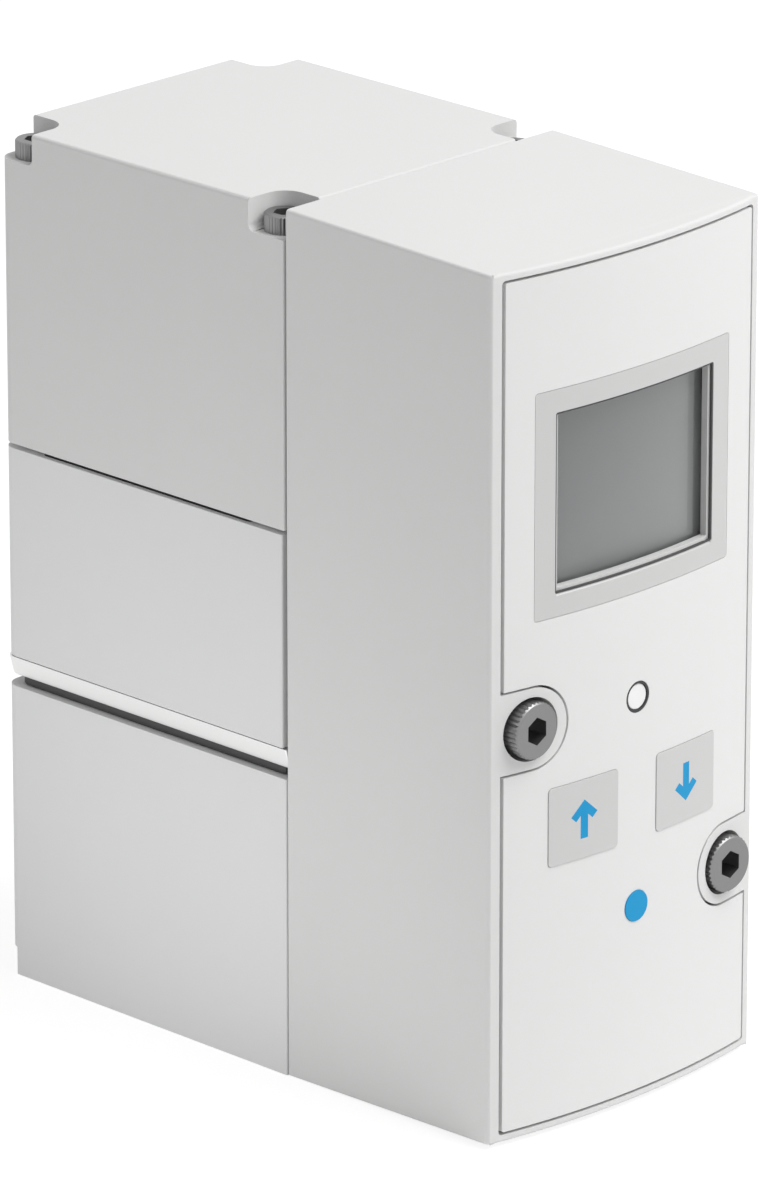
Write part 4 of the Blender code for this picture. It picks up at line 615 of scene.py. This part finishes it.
# Pilot stage. A moulded manifold on the middle block carries two small solenoid valves and a
# pressure sensor. The valve board over them plugs into the front housing, which holds the main
# board and the key board with its switches.
MOULDED_BLACK = (0.028, 0.028, 0.03)
BOARD_GREEN = (0.02, 0.16, 0.07)
black_plastic = grained(
    "black_moulding", MOULDED_BLACK, roughness=0.42, grain=2200, height=0.012 * MM, mottle=0.1
)
board_green = grained(
    "printed_board", BOARD_GREEN, roughness=0.35, grain=700, height=0.02 * MM, mottle=0.35
)
for name in (
    "pilot_manifold", "pilot_valve_supply", "pilot_valve_exhaust", "board_header",
    "up_switch", "down_switch", "edit_switch",
):
    finish_node(name, black_plastic)
finish_node("pressure_sensor", nickel)
for name in ("valve_board", "pin_board", "main_board", "key_board"):
    finish_node(name, board_green)

# Top cover. It is moulded in light grey plastic with a fine satin grain, closed on top, with a
# pocket at each corner that is open to both sides for the screw head.
SHELL_GREY = (0.765, 0.765, 0.76)
COVER_SETBACK = 0.2 * MM
COVER_WALL, COVER_POST, COVER_ROOF = 2.4 * MM, 8.2 * MM, 3 * MM
SOCKET_HOLE = 6.15 * MM
HEADER_GAP = 0.3 * MM
POCKET_RADIUS = 2.75 * MM
POCKET_DEPTH = 3.9 * MM
shell_plastic = grained(
    "shell_plastic", SHELL_GREY, roughness=0.62, grain=3200, height=0.010 * MM, mottle=0.012,
    specular=0.3,
)
cover_low, cover_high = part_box("top_cover")
header_low, header_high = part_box("board_header")
insert_low, insert_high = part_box("connector_insert")
SOCKET_Z = (insert_low.z + insert_high.z) / 2
cover_low += Vector((0, COVER_SETBACK, COVER_SETBACK))
top_cover = new_block("cover_moulding", cover_low, cover_high)
round_along(top_cover, REAR_ROUNDING, 8, lambda p: p.y > 0)
round_chosen(top_cover, 0.4 * MM, 3, lambda a, b: min(a.z, b.z) > cover_high.z - NEAR)
roof = cover_high.z - COVER_ROOF
carve(
    top_cover,
    new_block(
        "cover_space",
        (-HALF_WIDTH + COVER_WALL, cover_low.y + COVER_POST, 60 * MM),
        (HALF_WIDTH - COVER_WALL, REAR - COVER_POST, roof),
    ),
    new_block(
        "cover_ends",
        (-HALF_WIDTH + COVER_POST, cover_low.y + COVER_WALL, 60 * MM),
        (HALF_WIDTH - COVER_POST, REAR - COVER_WALL, roof),
    ),
    level_bar("socket_hole", 0, SOCKET_Z, REAR - 5 * MM, REAR + PAST, SOCKET_HOLE),
    new_block(
        "header_window",
        (header_low.x - HEADER_GAP, cover_low.y - PAST, header_low.z - HEADER_GAP),
        (header_high.x + HEADER_GAP, cover_low.y + 5 * MM, header_high.z + HEADER_GAP),
    ),
)
POCKET_FLOOR = cover_high.z - POCKET_DEPTH
over = cover_high.z + PAST
for x, y, _, _ in cover_screws:
    to_side, to_end = math.copysign(1, x), (1 if y > VALVE_Y else -1)
    inner_x, outer_x = x - to_side * POCKET_RADIUS, x + to_side * 5 * MM
    inner_y, outer_y = y - to_end * POCKET_RADIUS, y + to_end * 5 * MM
    pocket = new_block(
        "pocket",
        (min(inner_x, outer_x), min(inner_y, outer_y), POCKET_FLOOR),
        (max(inner_x, outer_x), max(inner_y, outer_y), over),
    )
    round_along(pocket, POCKET_RADIUS, 16, lambda p: abs(p.x - inner_x) + abs(p.y - inner_y) < NEAR)
    round_chosen(pocket, 0.7 * MM, 4, lambda a, b: max(a.z, b.z) < POCKET_FLOOR + HAIR)
    carve(top_cover, pocket, upright_bar("cover_bore", x, y, 60 * MM, over, SCREW_BORE, sides=48))
round_along(
    top_cover,
    FRONT_ROUNDING,
    3,
    lambda p: p.y < cover_low.y + NEAR and abs(p.x) > HALF_WIDTH - NEAR,
)
round_edges(top_cover, 0.15 * MM, segments=2)
settle(top_cover, "housing", "shell_plastic", shell_plastic, "top_cover")

# Socket head screws. They are plain steel with a knurled head and a hexagon socket. Four M3 screws
# hold the cover, and four more come from below through the base and the plate.
SCREW_GREY = (0.26, 0.26, 0.26)
M3_SHANK, M3_SOCKET = 1.5 * MM, 2.5 * MM
COVER_HEAD, BASE_HEAD = 2.2 * MM, 3 * MM


def cap_screw(name, head_radius, head_height, shank_radius, length, across):
    """A screw whose head face lies at the origin and looks up."""
    teeth = 36
    head = upright_bar(name, 0, 0, -head_height, 0, head_radius, sides=teeth * 2)
    turn = math.tau / (teeth * 2)

    def valley(point):
        return round(math.atan2(point.y, point.x) / turn) % 2 == 1

    edit_edges(head, lambda a, b: abs(a.z - b.z) > HAIR and valley(a) and valley(b))
    bpy.ops.transform.resize(value=(0.955, 0.955, 1), center_override=(0, 0, 0))
    bpy.ops.object.mode_set(mode="OBJECT")
    taper = head_radius * 0.07
    cone_length = head_height * 1.5
    carve(
        head,
        new_bar(
            "taper",
            (0, 0, -cone_length),
            (0, 0, 0),
            head_radius + (cone_length - taper),
            end_radius=head_radius - taper,
        ),
        how="INTERSECT",
    )
    socket_depth = head_height * 0.7
    shank = upright_bar(
        "shank", 0, 0, -head_height - length, -socket_depth, shank_radius, sides=48
    )
    carve(head, shank, how="UNION")
    carve(
        head,
        six_sides("socket", 0, 0, -socket_depth, PAST, across),
        new_bar(
            "socket_end",
            (0, 0, -head_height * 0.85),
            (0, 0, -head_height * 0.65),
            0.1 * MM,
            sides=48,
            end_radius=across / 2,
        ),
    )
    return round_edges(head, head_radius * 0.02, segments=2, limit=40)


def place_copy(model, name, face, outward):
    """A copy of a model with its own mesh, its origin laid on the face and its top looking out."""
    bpy.ops.object.select_all(action="DESELECT")
    model.select_set(True)
    bpy.context.view_layer.objects.active = model
    bpy.ops.object.duplicate()
    piece = bpy.context.object
    piece.name = name
    piece.rotation_euler = Vector(outward).to_track_quat("Z", "Y").to_euler()
    piece.location = face
    bpy.ops.object.transform_apply(location=True, rotation=True, scale=True)
    return piece


screw_steel = turned_metal("screw_steel", SCREW_GREY, 0.42, lay=2200)
_, _, bottom, _ = cover_screws[0]
cover_head = cap_screw(
    "cover_screw",
    head_radius=2.5 * MM,
    head_height=COVER_HEAD,
    shank_radius=M3_SHANK,
    length=POCKET_FLOOR - bottom,
    across=M3_SOCKET,
)
for i, (x, y, _, _) in enumerate(cover_screws, 1):
    face = (x, y, POCKET_FLOOR + COVER_HEAD)
    screw = place_copy(cover_head, f"cover_screw_{i}_turned", face, (0, 0, 1))
    settle(screw, "housing", "screw_steel", screw_steel, f"cover_screw_{i}")
bpy.data.objects.remove(cover_head)
_, _, bottom, top = base_screws[0]
base_head = cap_screw(
    "base_screw",
    head_radius=2.75 * MM,
    head_height=BASE_HEAD,
    shank_radius=M3_SHANK,
    length=top - bottom - BASE_HEAD,
    across=M3_SOCKET,
)
for i, (x, y, bottom, _) in enumerate(base_screws, 1):
    screw = place_copy(base_head, f"base_screw_{i}_turned", (x, y, bottom), (0, 0, -1))
    settle(screw, "housing", "screw_steel", screw_steel, f"base_screw_{i}")
bpy.data.objects.remove(base_head)

# Connector. An M12 sleeve of nickel-plated brass is clamped in the cover's back wall by a nut. A
# black insert with a keyway holds five gold-plated pins.
GOLD_YELLOW = (0.86, 0.64, 0.28)
SLEEVE_RADIUS, SLEEVE_BORE, COLLAR_RADIUS = 6 * MM, 4.8 * MM, 8.2 * MM
SLEEVE_ROOT, SLEEVE_CREST, SLEEVE_PITCH = 5.42 * MM, 5.98 * MM, 1 * MM
INSERT_RADIUS, KEYWAY_RADIUS = 4.65 * MM, 0.7 * MM
PIN_RADIUS, PIN_DISH = 0.5 * MM, 0.85 * MM
sleeve_low, sleeve_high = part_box("connector_shell")
collar_end = REAR + 2.2 * MM
connector = level_bar("sleeve", 0, SOCKET_Z, sleeve_low.y, collar_end, SLEEVE_RADIUS)
carve(
    connector,
    ridged_bar(
        "sleeve_thread",
        (0, sleeve_high.y - 0.7 * MM, SOCKET_Z),
        (0, -1, 0),
        SLEEVE_ROOT,
        SLEEVE_CREST,
        SLEEVE_PITCH,
        8,
        sides=96,
    ),
    level_bar("sleeve_end", 0, SOCKET_Z, collar_end, sleeve_high.y, SLEEVE_ROOT),
    level_bar("collar", 0, SOCKET_Z, REAR + 0.02 * MM, collar_end, COLLAR_RADIUS),
    how="UNION",
)
carve(connector, level_bar("sleeve_bore", 0, SOCKET_Z, 0, sleeve_high.y + PAST, SLEEVE_BORE))
round_edges(connector, 0.12 * MM, segments=2)
settle(connector, "housing", "nickel", nickel, "connector_shell")
finish_node("connector_nut", nickel)

insert = level_bar("insert", 0, SOCKET_Z, insert_low.y, insert_high.y, INSERT_RADIUS)
insert_past = insert_high.y + PAST
keyway_near, keyway_z = insert_high.y - 1.2 * MM, SOCKET_Z + 4.5 * MM
pin_boxes = [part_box(f"contact_pin_{i}") for i in range(1, 6)]
pin_places = [((low.x + high.x) / 2, (low.z + high.z) / 2) for low, high in pin_boxes]
dish_near = insert_high.y - 0.25 * MM
carve(
    insert,
    level_bar("keyway", 0, keyway_z, keyway_near, insert_past, KEYWAY_RADIUS, sides=32),
    *[
        level_bar("pin_dish", x, z, dish_near, insert_past, PIN_DISH, sides=32)
        for x, z in pin_places
    ],
)
round_edges(insert, 0.1 * MM, segments=2)
settle(insert, "housing", "black_plastic", black_plastic, "connector_insert")

gold = turned_metal("gold_plate", GOLD_YELLOW, 0.22)
pin_low, pin_high = pin_boxes[0]
pin_model = upright_bar("pin", 0, 0, pin_low.y - pin_high.y, 0, PIN_RADIUS, sides=32)
round_edges(pin_model, 0.32 * MM, segments=4)
for i, (x, z) in enumerate(pin_places, 1):
    pin = place_copy(pin_model, f"contact_pin_{i}_turned", (x, pin_high.y, z), (0, 1, 0))
    settle(pin, "housing", "brass", gold, f"contact_pin_{i}")
bpy.data.objects.remove(pin_model)

# Front housing. It is moulded in the same grey plastic as the cover, with a bulged front whose rim
# stands round the panel, and a post at each side through which a long screw runs into the body.
shell_low, shell_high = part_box("front_shell")
HEIGHT = 108 * MM
BULGE = 2.4 * MM
FRONT = shell_low.y + BULGE
SHELL_BACK = shell_high.y
ARC_RADIUS = (HALF_WIDTH**2 + BULGE**2) / (2 * BULGE)
ARC_Y = FRONT - BULGE + ARC_RADIUS
TOP_DROP, BOTTOM_RISE = 0.8 * MM, 0.6 * MM
POSTS = ((left_x, left_z), (right_x, right_z))
POST_RADIUS = 4.95 * MM
HEAD_POCKET = 3.9 * MM
RECESS_DEPTH = 2.1 * MM


def arc_bar(name, depth):
    """The upright round bar whose front is the bulged face, set back by a depth."""
    return upright_bar(name, 0, ARC_Y, -10 * MM, 120 * MM, ARC_RADIUS - depth, sides=720)


def bulged_sheet(piece, outer, inner):
    """Keeps of a piece the curved layer between two depths behind the bulged face."""
    carve(piece, arc_bar("outer_face", outer), how="INTERSECT")
    if inner is not None:
        carve(piece, arc_bar("inner_face", inner))
    return piece


def screw_post(x, z, radius):
    """The form of a screw post, which runs out to the side wall."""
    near, far = FRONT - 20 * MM, 20 * MM
    wall = math.copysign(HALF_WIDTH + 1 * MM, x)
    x -= math.copysign(0.3 * MM, x)
    post = level_bar("post", x, z, near, far, radius)
    side = new_block("post_side", (min(x, wall), near, z - radius), (max(x, wall), far, z + radius))
    return carve(post, side, how="UNION")


def end_edge(a, b):
    """Tells the edges round the shell's top and bottom faces, apart from those at its back."""
    at_end = min(a.z, b.z) > 100 * MM or max(a.z, b.z) < 5 * MM
    across = abs(a.z - b.z) < 2 * MM and max(a.y, b.y) < SHELL_BACK - 0.1 * MM
    return at_end and across or abs(a.y - b.y) > 20 * MM


shell = new_block(
    "shell_moulding",
    (-HALF_WIDTH, FRONT - BULGE, 0),
    (HALF_WIDTH, SHELL_BACK, HEIGHT),
)
run = SHELL_BACK + 0.15 * MM - FRONT
slope = (run + BULGE) / run
for at_top, shift in ((True, -TOP_DROP * slope), (False, BOTTOM_RISE * slope)):
    shift_chosen(
        shell,
        (0, 0, shift),
        lambda a, b: max(a.y, b.y) < FRONT and (a.z > 50 * MM) == (b.z > 50 * MM) == at_top,
    )
bulged_sheet(shell, 0, None)
round_along(
    shell,
    0.65 * MM,
    6,
    lambda p: p.y < FRONT + 0.5 * MM and abs(p.x) > HALF_WIDTH - NEAR,
)
round_chosen(shell, 0.4 * MM, 3, end_edge)
recess = new_block(
    "recess",
    (-21.0 * MM, FRONT - 6 * MM, 1.5 * MM),
    (21.2 * MM, FRONT + 5 * MM, 106.3 * MM),
)
round_along(recess, 0.5 * MM, 4, lambda p: True, axis=1)
space = new_block("space", (-20.1 * MM, FRONT + 3.9 * MM, 3 * MM), (20.1 * MM, 0, 104.8 * MM))
opening = new_block(
    "opening",
    (-18.7 * MM, FRONT - 5 * MM, 4 * MM),
    (18.7 * MM, FRONT + 5 * MM, 103.8 * MM),
)
carve(recess, arc_bar("recess_floor", RECESS_DEPTH))
for cutter in (recess, space, opening):
    for x, z in POSTS:
        carve(cutter, screw_post(x, z, POST_RADIUS))
carve(shell, recess, space, opening)
for x, z in POSTS:
    carve(
        shell,
        level_bar("head_pocket", x, z, FRONT - 10 * MM, FRONT + 1.9 * MM, HEAD_POCKET),
        level_bar("shank_bore", x, z, FRONT, 0, FRONT_BORE, sides=64),
    )
carve(
    shell,
    new_block(
        "gasket_rebate",
        (-21.4 * MM, SHELL_BACK - 1 * MM, 1.1 * MM),
        (21.4 * MM, 0, 106.9 * MM),
    ),
)
round_edges(shell, 0.14 * MM, segments=2)
settle(shell, "housing", "shell_plastic", shell_plastic, "front_shell")
finish_node("shell_gasket", rubber)

# Front panel. A smooth light grey moulding lies flush in the rim of the front housing. It is cut
# out round the two screw posts, the display, the lamp and the keys.
PANEL_GREY = (0.80, 0.80, 0.795)
PANEL_HALF, PANEL_MIDDLE = (20.7 * MM, 52.05 * MM), (0.2 * MM, 53.9 * MM)
KEYS = {"up": (-8.7 * MM, 38.4 * MM), "down": (8.7 * MM, 38.4 * MM)}
KEY_HALF, KEY_ROUNDING = Vector((5.4 * MM, 4.85 * MM)), 0.5 * MM
BEZEL_HALF, BEZEL_ROUNDING = (16.3 * MM, 13.8 * MM), 0.4 * MM
BEZEL_Z = 78.1 * MM
LAMP_Z = 51.3 * MM
EDIT_Z = 25.2 * MM
ROUND_HOLE = 1.95 * MM
SEAM = 0.06 * MM
POST_SEAM = 0.3 * MM
THROUGH = 8 * MM


def front_plate(name, half, middle, radius, grow=0):
    """A plate through the front with rounded corners, given by its half sizes, grown all round."""
    x, z = middle
    half_width, half_height = half[0] + grow, half[1] + grow
    plate = new_block(
        name,
        (x - half_width, FRONT - THROUGH, z - half_height),
        (x + half_width, FRONT + THROUGH, z + half_height),
    )
    return round_along(plate, radius + grow, 6, lambda p: True, axis=1)


panel_plastic = grained(
    "panel_plastic", PANEL_GREY, roughness=0.34, grain=3600, height=0.004 * MM, mottle=0.01
)
panel = front_plate("panel_moulding", PANEL_HALF, PANEL_MIDDLE, 0.3 * MM)
bulged_sheet(panel, 0, 2 * MM)
for x, z in POSTS:
    carve(panel, screw_post(x, z, POST_RADIUS + POST_SEAM))
carve(
    panel,
    front_plate("bezel_hole", BEZEL_HALF, (0, BEZEL_Z), BEZEL_ROUNDING, grow=SEAM),
    level_bar("lamp_hole", 0, LAMP_Z, FRONT - THROUGH, FRONT + THROUGH, ROUND_HOLE),
    level_bar("edit_hole", 0, EDIT_Z, FRONT - THROUGH, FRONT + THROUGH, ROUND_HOLE),
    *[front_plate("key_hole", KEY_HALF, place, KEY_ROUNDING, grow=SEAM) for place in KEYS.values()],
)
round_edges(panel, 0.10 * MM, segments=2)
settle(panel, "housing", "panel_plastic", panel_plastic, "front_panel")

# Display. A grey frame is flush in the panel, with a clear curved window in a step at its back. The
# liquid crystal module behind it, on the key board, is grey, with a painted reflection that makes it
# paler towards its lower right.
BEZEL_GREY = (0.62, 0.62, 0.615)
DISPLAY_GREY = (0.265, 0.27, 0.27)
RING_STEP_DEPTH = 0.4 * MM
RING_STEP, WINDOW = (13.3 * MM, 11 * MM), (12.65 * MM, 10.52 * MM)
SHADE_RING_OUTER, SHADE_RING_INNER = (13.28 * MM, 10.98 * MM), (13.08 * MM, 10.78 * MM)
LENS_STEP, LENS = (14.1 * MM, 11.8 * MM), (14 * MM, 11.7 * MM)


def at_depth(point, depth):
    """Tells whether a point lies at a depth behind the bulged face."""
    return abs(math.hypot(point.x, point.y - ARC_Y) - ARC_RADIUS + depth) < 0.03 * MM


def window_edge(a, b):
    """Tells the front edges of the frame's window, apart from the one at its top."""
    return all(
        at_depth(p, RING_STEP_DEPTH) and p.z < BEZEL_Z + 10.2 * MM and abs(p.x) < 12.7 * MM
        for p in (a, b)
    )


def step_edge(a, b):
    """Tells the bottom edge of the step that the window's dark ring lies in."""
    return all(
        at_depth(p, 0) and abs(p.z - BEZEL_Z + RING_STEP[1]) < 0.02 * MM
        for p in (a, b)
    )


bezel_plastic = grained(
    "bezel_plastic", BEZEL_GREY, roughness=0.38, grain=3000, height=0.006 * MM, mottle=0.01
)
bezel = front_plate("bezel_moulding", BEZEL_HALF, (0, BEZEL_Z), BEZEL_ROUNDING)
bulged_sheet(bezel, 0, 2.5 * MM)
lens_step = front_plate("lens_step", LENS_STEP, (0, BEZEL_Z), 0.5 * MM)
bulged_sheet(lens_step, 1.3 * MM, 6 * MM)
ring_step = front_plate("ring_step", RING_STEP, (0, BEZEL_Z), 0.25 * MM)
carve(ring_step, arc_bar("ring_step_floor", RING_STEP_DEPTH))
window = front_plate("window", WINDOW, (0, BEZEL_Z + 0.17 * MM), 0.2 * MM)
carve(bezel, window, ring_step, lens_step)
round_chosen(bezel, 0.18 * MM, 2, window_edge)
round_chosen(bezel, 0.25 * MM, 1, step_edge)
round_edges(bezel, 0.1 * MM, segments=2, limit=50)
settle(bezel, "housing", "bezel_plastic", bezel_plastic, "display_bezel")
# A thin dark rubber ring in the step round the window is painted shade. It stands for the shaded gap
# between the frame and the lens.
window_shade_ring = front_plate("window_shade_ring", SHADE_RING_OUTER, (0, BEZEL_Z), 0.25 * MM)
carve(window_shade_ring, front_plate("shade_ring_hole", SHADE_RING_INNER, (0, BEZEL_Z), 0.2 * MM))
bulged_sheet(window_shade_ring, 0.1 * MM, RING_STEP_DEPTH)
settle(window_shade_ring, "housing", "seal_rubber", grey_rubber)

lens = front_plate("lens_moulding", LENS, (0, BEZEL_Z), 0.5 * MM)
bulged_sheet(lens, 1.4 * MM, 2.3 * MM)
round_edges(lens, 0.06 * MM, segments=2)
clear_plastic = bpy.data.materials.new("clear_plastic")
clear_plastic.use_nodes = True
clear_nodes, clear_links = clear_plastic.node_tree.nodes, clear_plastic.node_tree.links
clear_shader = clear_nodes["Principled BSDF"]
clear_shader.inputs["Base Color"].default_value = (0.93, 0.94, 0.94, 1)
clear_shader.inputs["Roughness"].default_value = 0.04
clear_shader.inputs["IOR"].default_value = 1.49
clear_shader.inputs["Transmission Weight"].default_value = 1.0
wipe = clear_nodes.new("ShaderNodeTexNoise")
wipe.inputs["Scale"].default_value = 120
wipe_place = clear_nodes.new("ShaderNodeTexCoord")
wipe_range = clear_nodes.new("ShaderNodeMapRange")
wipe_range.inputs["To Min"].default_value = 0.02
wipe_range.inputs["To Max"].default_value = 0.05
clear_links.new(wipe_place.outputs["Object"], wipe.inputs["Vector"])
clear_links.new(wipe.outputs["Fac"], wipe_range.inputs["Value"])
clear_links.new(wipe_range.outputs["Result"], clear_shader.inputs["Roughness"])
settle(lens, "housing", "lens_plastic", clear_plastic, "display_lens")

display_grey = grained(
    "display_grey", DISPLAY_GREY, roughness=0.35, grain=60, height=0, mottle=0.38
)
display_nodes, display_links = display_grey.node_tree.nodes, display_grey.node_tree.links
painted_reflection_place = next(n for n in display_nodes if n.type == "TEX_COORD")
painted_reflection_tone = next(n for n in display_nodes if n.type == "MIX")
# Painted reflection: a gradient over the module's object coordinates drives the tone mix, not the
# noise, so the grey runs from 0.62 to 1.38 times its own tone, paler towards the lower right.
painted_reflection_way = display_nodes.new("ShaderNodeVectorMath")
painted_reflection_way.operation = "DOT_PRODUCT"
painted_reflection_way.inputs[1].default_value = (1, 0, -1)
painted_reflection_range = display_nodes.new("ShaderNodeMapRange")
painted_reflection_range.inputs["From Min"].default_value = -101 * MM
painted_reflection_range.inputs["From Max"].default_value = -55 * MM
display_links.new(painted_reflection_place.outputs["Object"], painted_reflection_way.inputs[0])
display_links.new(painted_reflection_way.outputs["Value"], painted_reflection_range.inputs["Value"])
display_links.new(painted_reflection_range.outputs["Result"], painted_reflection_tone.inputs["Factor"])
module_low, module_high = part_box("display_module")
module = new_block("display_module_glass", module_low, module_high)
edit_edges(module, lambda a, b: max(a.y, b.y) < module_low.y + NEAR)
bpy.ops.mesh.select_mode(type="FACE")
bpy.ops.mesh.inset(thickness=0.6 * MM, depth=0)
bpy.ops.mesh.inset(thickness=0.15 * MM, depth=-0.12 * MM)
bpy.ops.object.mode_set(mode="OBJECT")
round_edges(module, 0.08 * MM, segments=2)
settle(module, "housing", "display_glass", display_grey, "display_module")

# Status lamp. A milky light guide runs from the key board to the face of the panel, with a thin
# black ring round its end.
MILK_WHITE = (0.90, 0.90, 0.90)
GUIDE_RADIUS, RING_INNER, RING_OUTER = 1.58 * MM, 1.62 * MM, 1.93 * MM
milky = grained(
    "milky_plastic", MILK_WHITE, roughness=0.25, grain=1500, height=0.002 * MM, mottle=0.01
)
guide_low, guide_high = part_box("status_light_guide")
guide = level_bar("light_guide", 0, LAMP_Z, guide_low.y, guide_high.y, GUIDE_RADIUS, sides=64)
round_edges(guide, 0.12 * MM)
settle(guide, "housing", "lamp_plastic", milky, "status_light_guide")
ring_near = FRONT - BULGE + 0.02 * MM
ring = level_bar("lamp_ring", 0, LAMP_Z, ring_near, ring_near + 2 * MM, RING_OUTER, sides=64)
carve(ring, level_bar("ring_hole", 0, LAMP_Z, FRONT - THROUGH, 0, RING_INNER, sides=64))
round_edges(ring, 0.08 * MM, segments=2)
settle(ring, "housing", "black_plastic", black_plastic)

# Keys. Two square keys of grey rubber with blue arrows set into them and a small round blue key sit
# flush in the panel. Each has a lip behind the panel and a stem that meets its switch.
KEY_GREY = (0.635, 0.635, 0.63)
KEY_BLUE = (0.004, 0.32, 0.64)
KEY_RISE = 0.12 * MM
LIP_NEAR, LIP_FAR = FRONT + 0.9 * MM, FRONT + 1.6 * MM
LIP_HALF = (5.9 * MM, 5.35 * MM)
STEM_RADIUS = 1.4 * MM
EDIT_RADIUS, EDIT_LIP = 1.9 * MM, 2.9 * MM
ARROW_TIP, ARROW_SIDE, ARROW_NOTCH = 2.4 * MM, 2.9 * MM, 1.1 * MM
SHAFT_HALF, SHAFT_TOP = 0.58 * MM, 1.5 * MM
ARROW_DEPTH = 0.35 * MM


def key_form(body, face, lip, middle):
    """Joins a key's curved face, its lip and its stem, which reaches as far as the solid's."""
    x, z = middle
    stem_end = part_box(body)[1].y
    bulged_sheet(face, -KEY_RISE, None)
    carve(face, new_block("key_back", (-100 * MM, LIP_FAR, 0), (100 * MM, 0, 100 * MM)))
    round_edges(face, 0.13 * MM)
    stem = level_bar("stem", x, z, FRONT + 1.2 * MM, stem_end, STEM_RADIUS, sides=48)
    return carve(face, lip, stem, how="UNION")


def arrow_form(name, middle, upwards):
    """A blue arrow for a key, with its head cut as a square corner and turned upright."""
    x, z = middle
    near, far = FRONT - 6 * MM, FRONT + 3 * MM
    tip = Vector((x, 0, z + ARROW_TIP))
    arrow = new_block(name, (tip.x, near, tip.z - ARROW_SIDE), (tip.x + ARROW_SIDE, far, tip.z))
    carve(
        arrow,
        new_block(
            "notch",
            (tip.x + ARROW_NOTCH, near - PAST, tip.z - 4 * MM),
            (tip.x + 4 * MM, far + PAST, tip.z - ARROW_NOTCH),
        ),
    )
    edit_edges(arrow, lambda a, b: True)
    bpy.ops.transform.rotate(value=math.radians(-45), orient_axis="Y", center_override=tip)
    bpy.ops.transform.resize(value=(1, 1, 0.9), center_override=tip)
    bpy.ops.object.mode_set(mode="OBJECT")
    shaft = new_block(
        "shaft",
        (x - SHAFT_HALF, near, z - ARROW_TIP),
        (x + SHAFT_HALF, far, z + SHAFT_TOP),
    )
    carve(arrow, shaft, how="UNION")
    if not upwards:
        edit_edges(arrow, lambda a, b: True)
        bpy.ops.transform.resize(value=(1, 1, -1), center_override=(x, 0, z))
        bpy.ops.mesh.normals_make_consistent(inside=False)
        bpy.ops.object.mode_set(mode="OBJECT")
    return arrow


key_rubber = grained(
    "key_rubber", KEY_GREY, roughness=0.5, grain=2800, height=0.006 * MM, mottle=0.012
)
key_blue = grained("key_blue", KEY_BLUE, roughness=0.5, grain=2800, height=0.004 * MM, specular=0.3)
for label, (x, z) in KEYS.items():
    body = f"{label}_key"
    upwards = label == "up"
    face = front_plate(f"{label}_key_cap", KEY_HALF, (x, z), KEY_ROUNDING)
    lip = new_block(
        "lip",
        (x - LIP_HALF[0], LIP_NEAR, z - LIP_HALF[1]),
        (x + LIP_HALF[0], LIP_FAR, z + LIP_HALF[1]),
    )
    key_form(body, face, lip, (x, z))
    seat = arrow_form("arrow_seat", (x, z), upwards)
    carve(seat, arc_bar("seat_floor", ARROW_DEPTH))
    carve(face, seat)
    settle(face, body, "key_rubber", key_rubber, body)
    arrow = arrow_form(f"{label}_arrow", (x, z), upwards)
    bulged_sheet(arrow, 0.002 * MM - KEY_RISE, ARROW_DEPTH)
    settle(arrow, body, "key_blue", key_blue)
edit_cap = level_bar("edit_key_cap", 0, EDIT_Z, FRONT - THROUGH, FRONT + THROUGH, EDIT_RADIUS)
edit_lip = level_bar("edit_lip", 0, EDIT_Z, LIP_NEAR, LIP_FAR, EDIT_LIP)
key_form("edit_key", edit_cap, edit_lip, (0, EDIT_Z))
settle(edit_cap, "edit_key", "key_blue", key_blue, "edit_key")

# Front screws. Two long M4 socket head screws of plain steel stand in the posts at the two sides,
# one above the keys on the left and one below them on the right.
M4_HEAD_RADIUS, M4_HEAD = 3.5 * MM, 4 * MM
M4_SHANK, M4_SOCKET = 2 * MM, 3 * MM
front_head = cap_screw(
    "front_screw",
    head_radius=M4_HEAD_RADIUS,
    head_height=M4_HEAD,
    shank_radius=M4_SHANK,
    length=left_screw_high.y - left_screw_low.y - M4_HEAD,
    across=M4_SOCKET,
)
for side, (x, z) in zip(("left", "right"), POSTS):
    face = (x, left_screw_low.y, z)
    screw = place_copy(front_head, f"front_screw_{side}_turned", face, (0, -1, 0))
    settle(screw, "housing", "screw_steel", screw_steel, f"front_screw_{side}")
bpy.data.objects.remove(front_head)
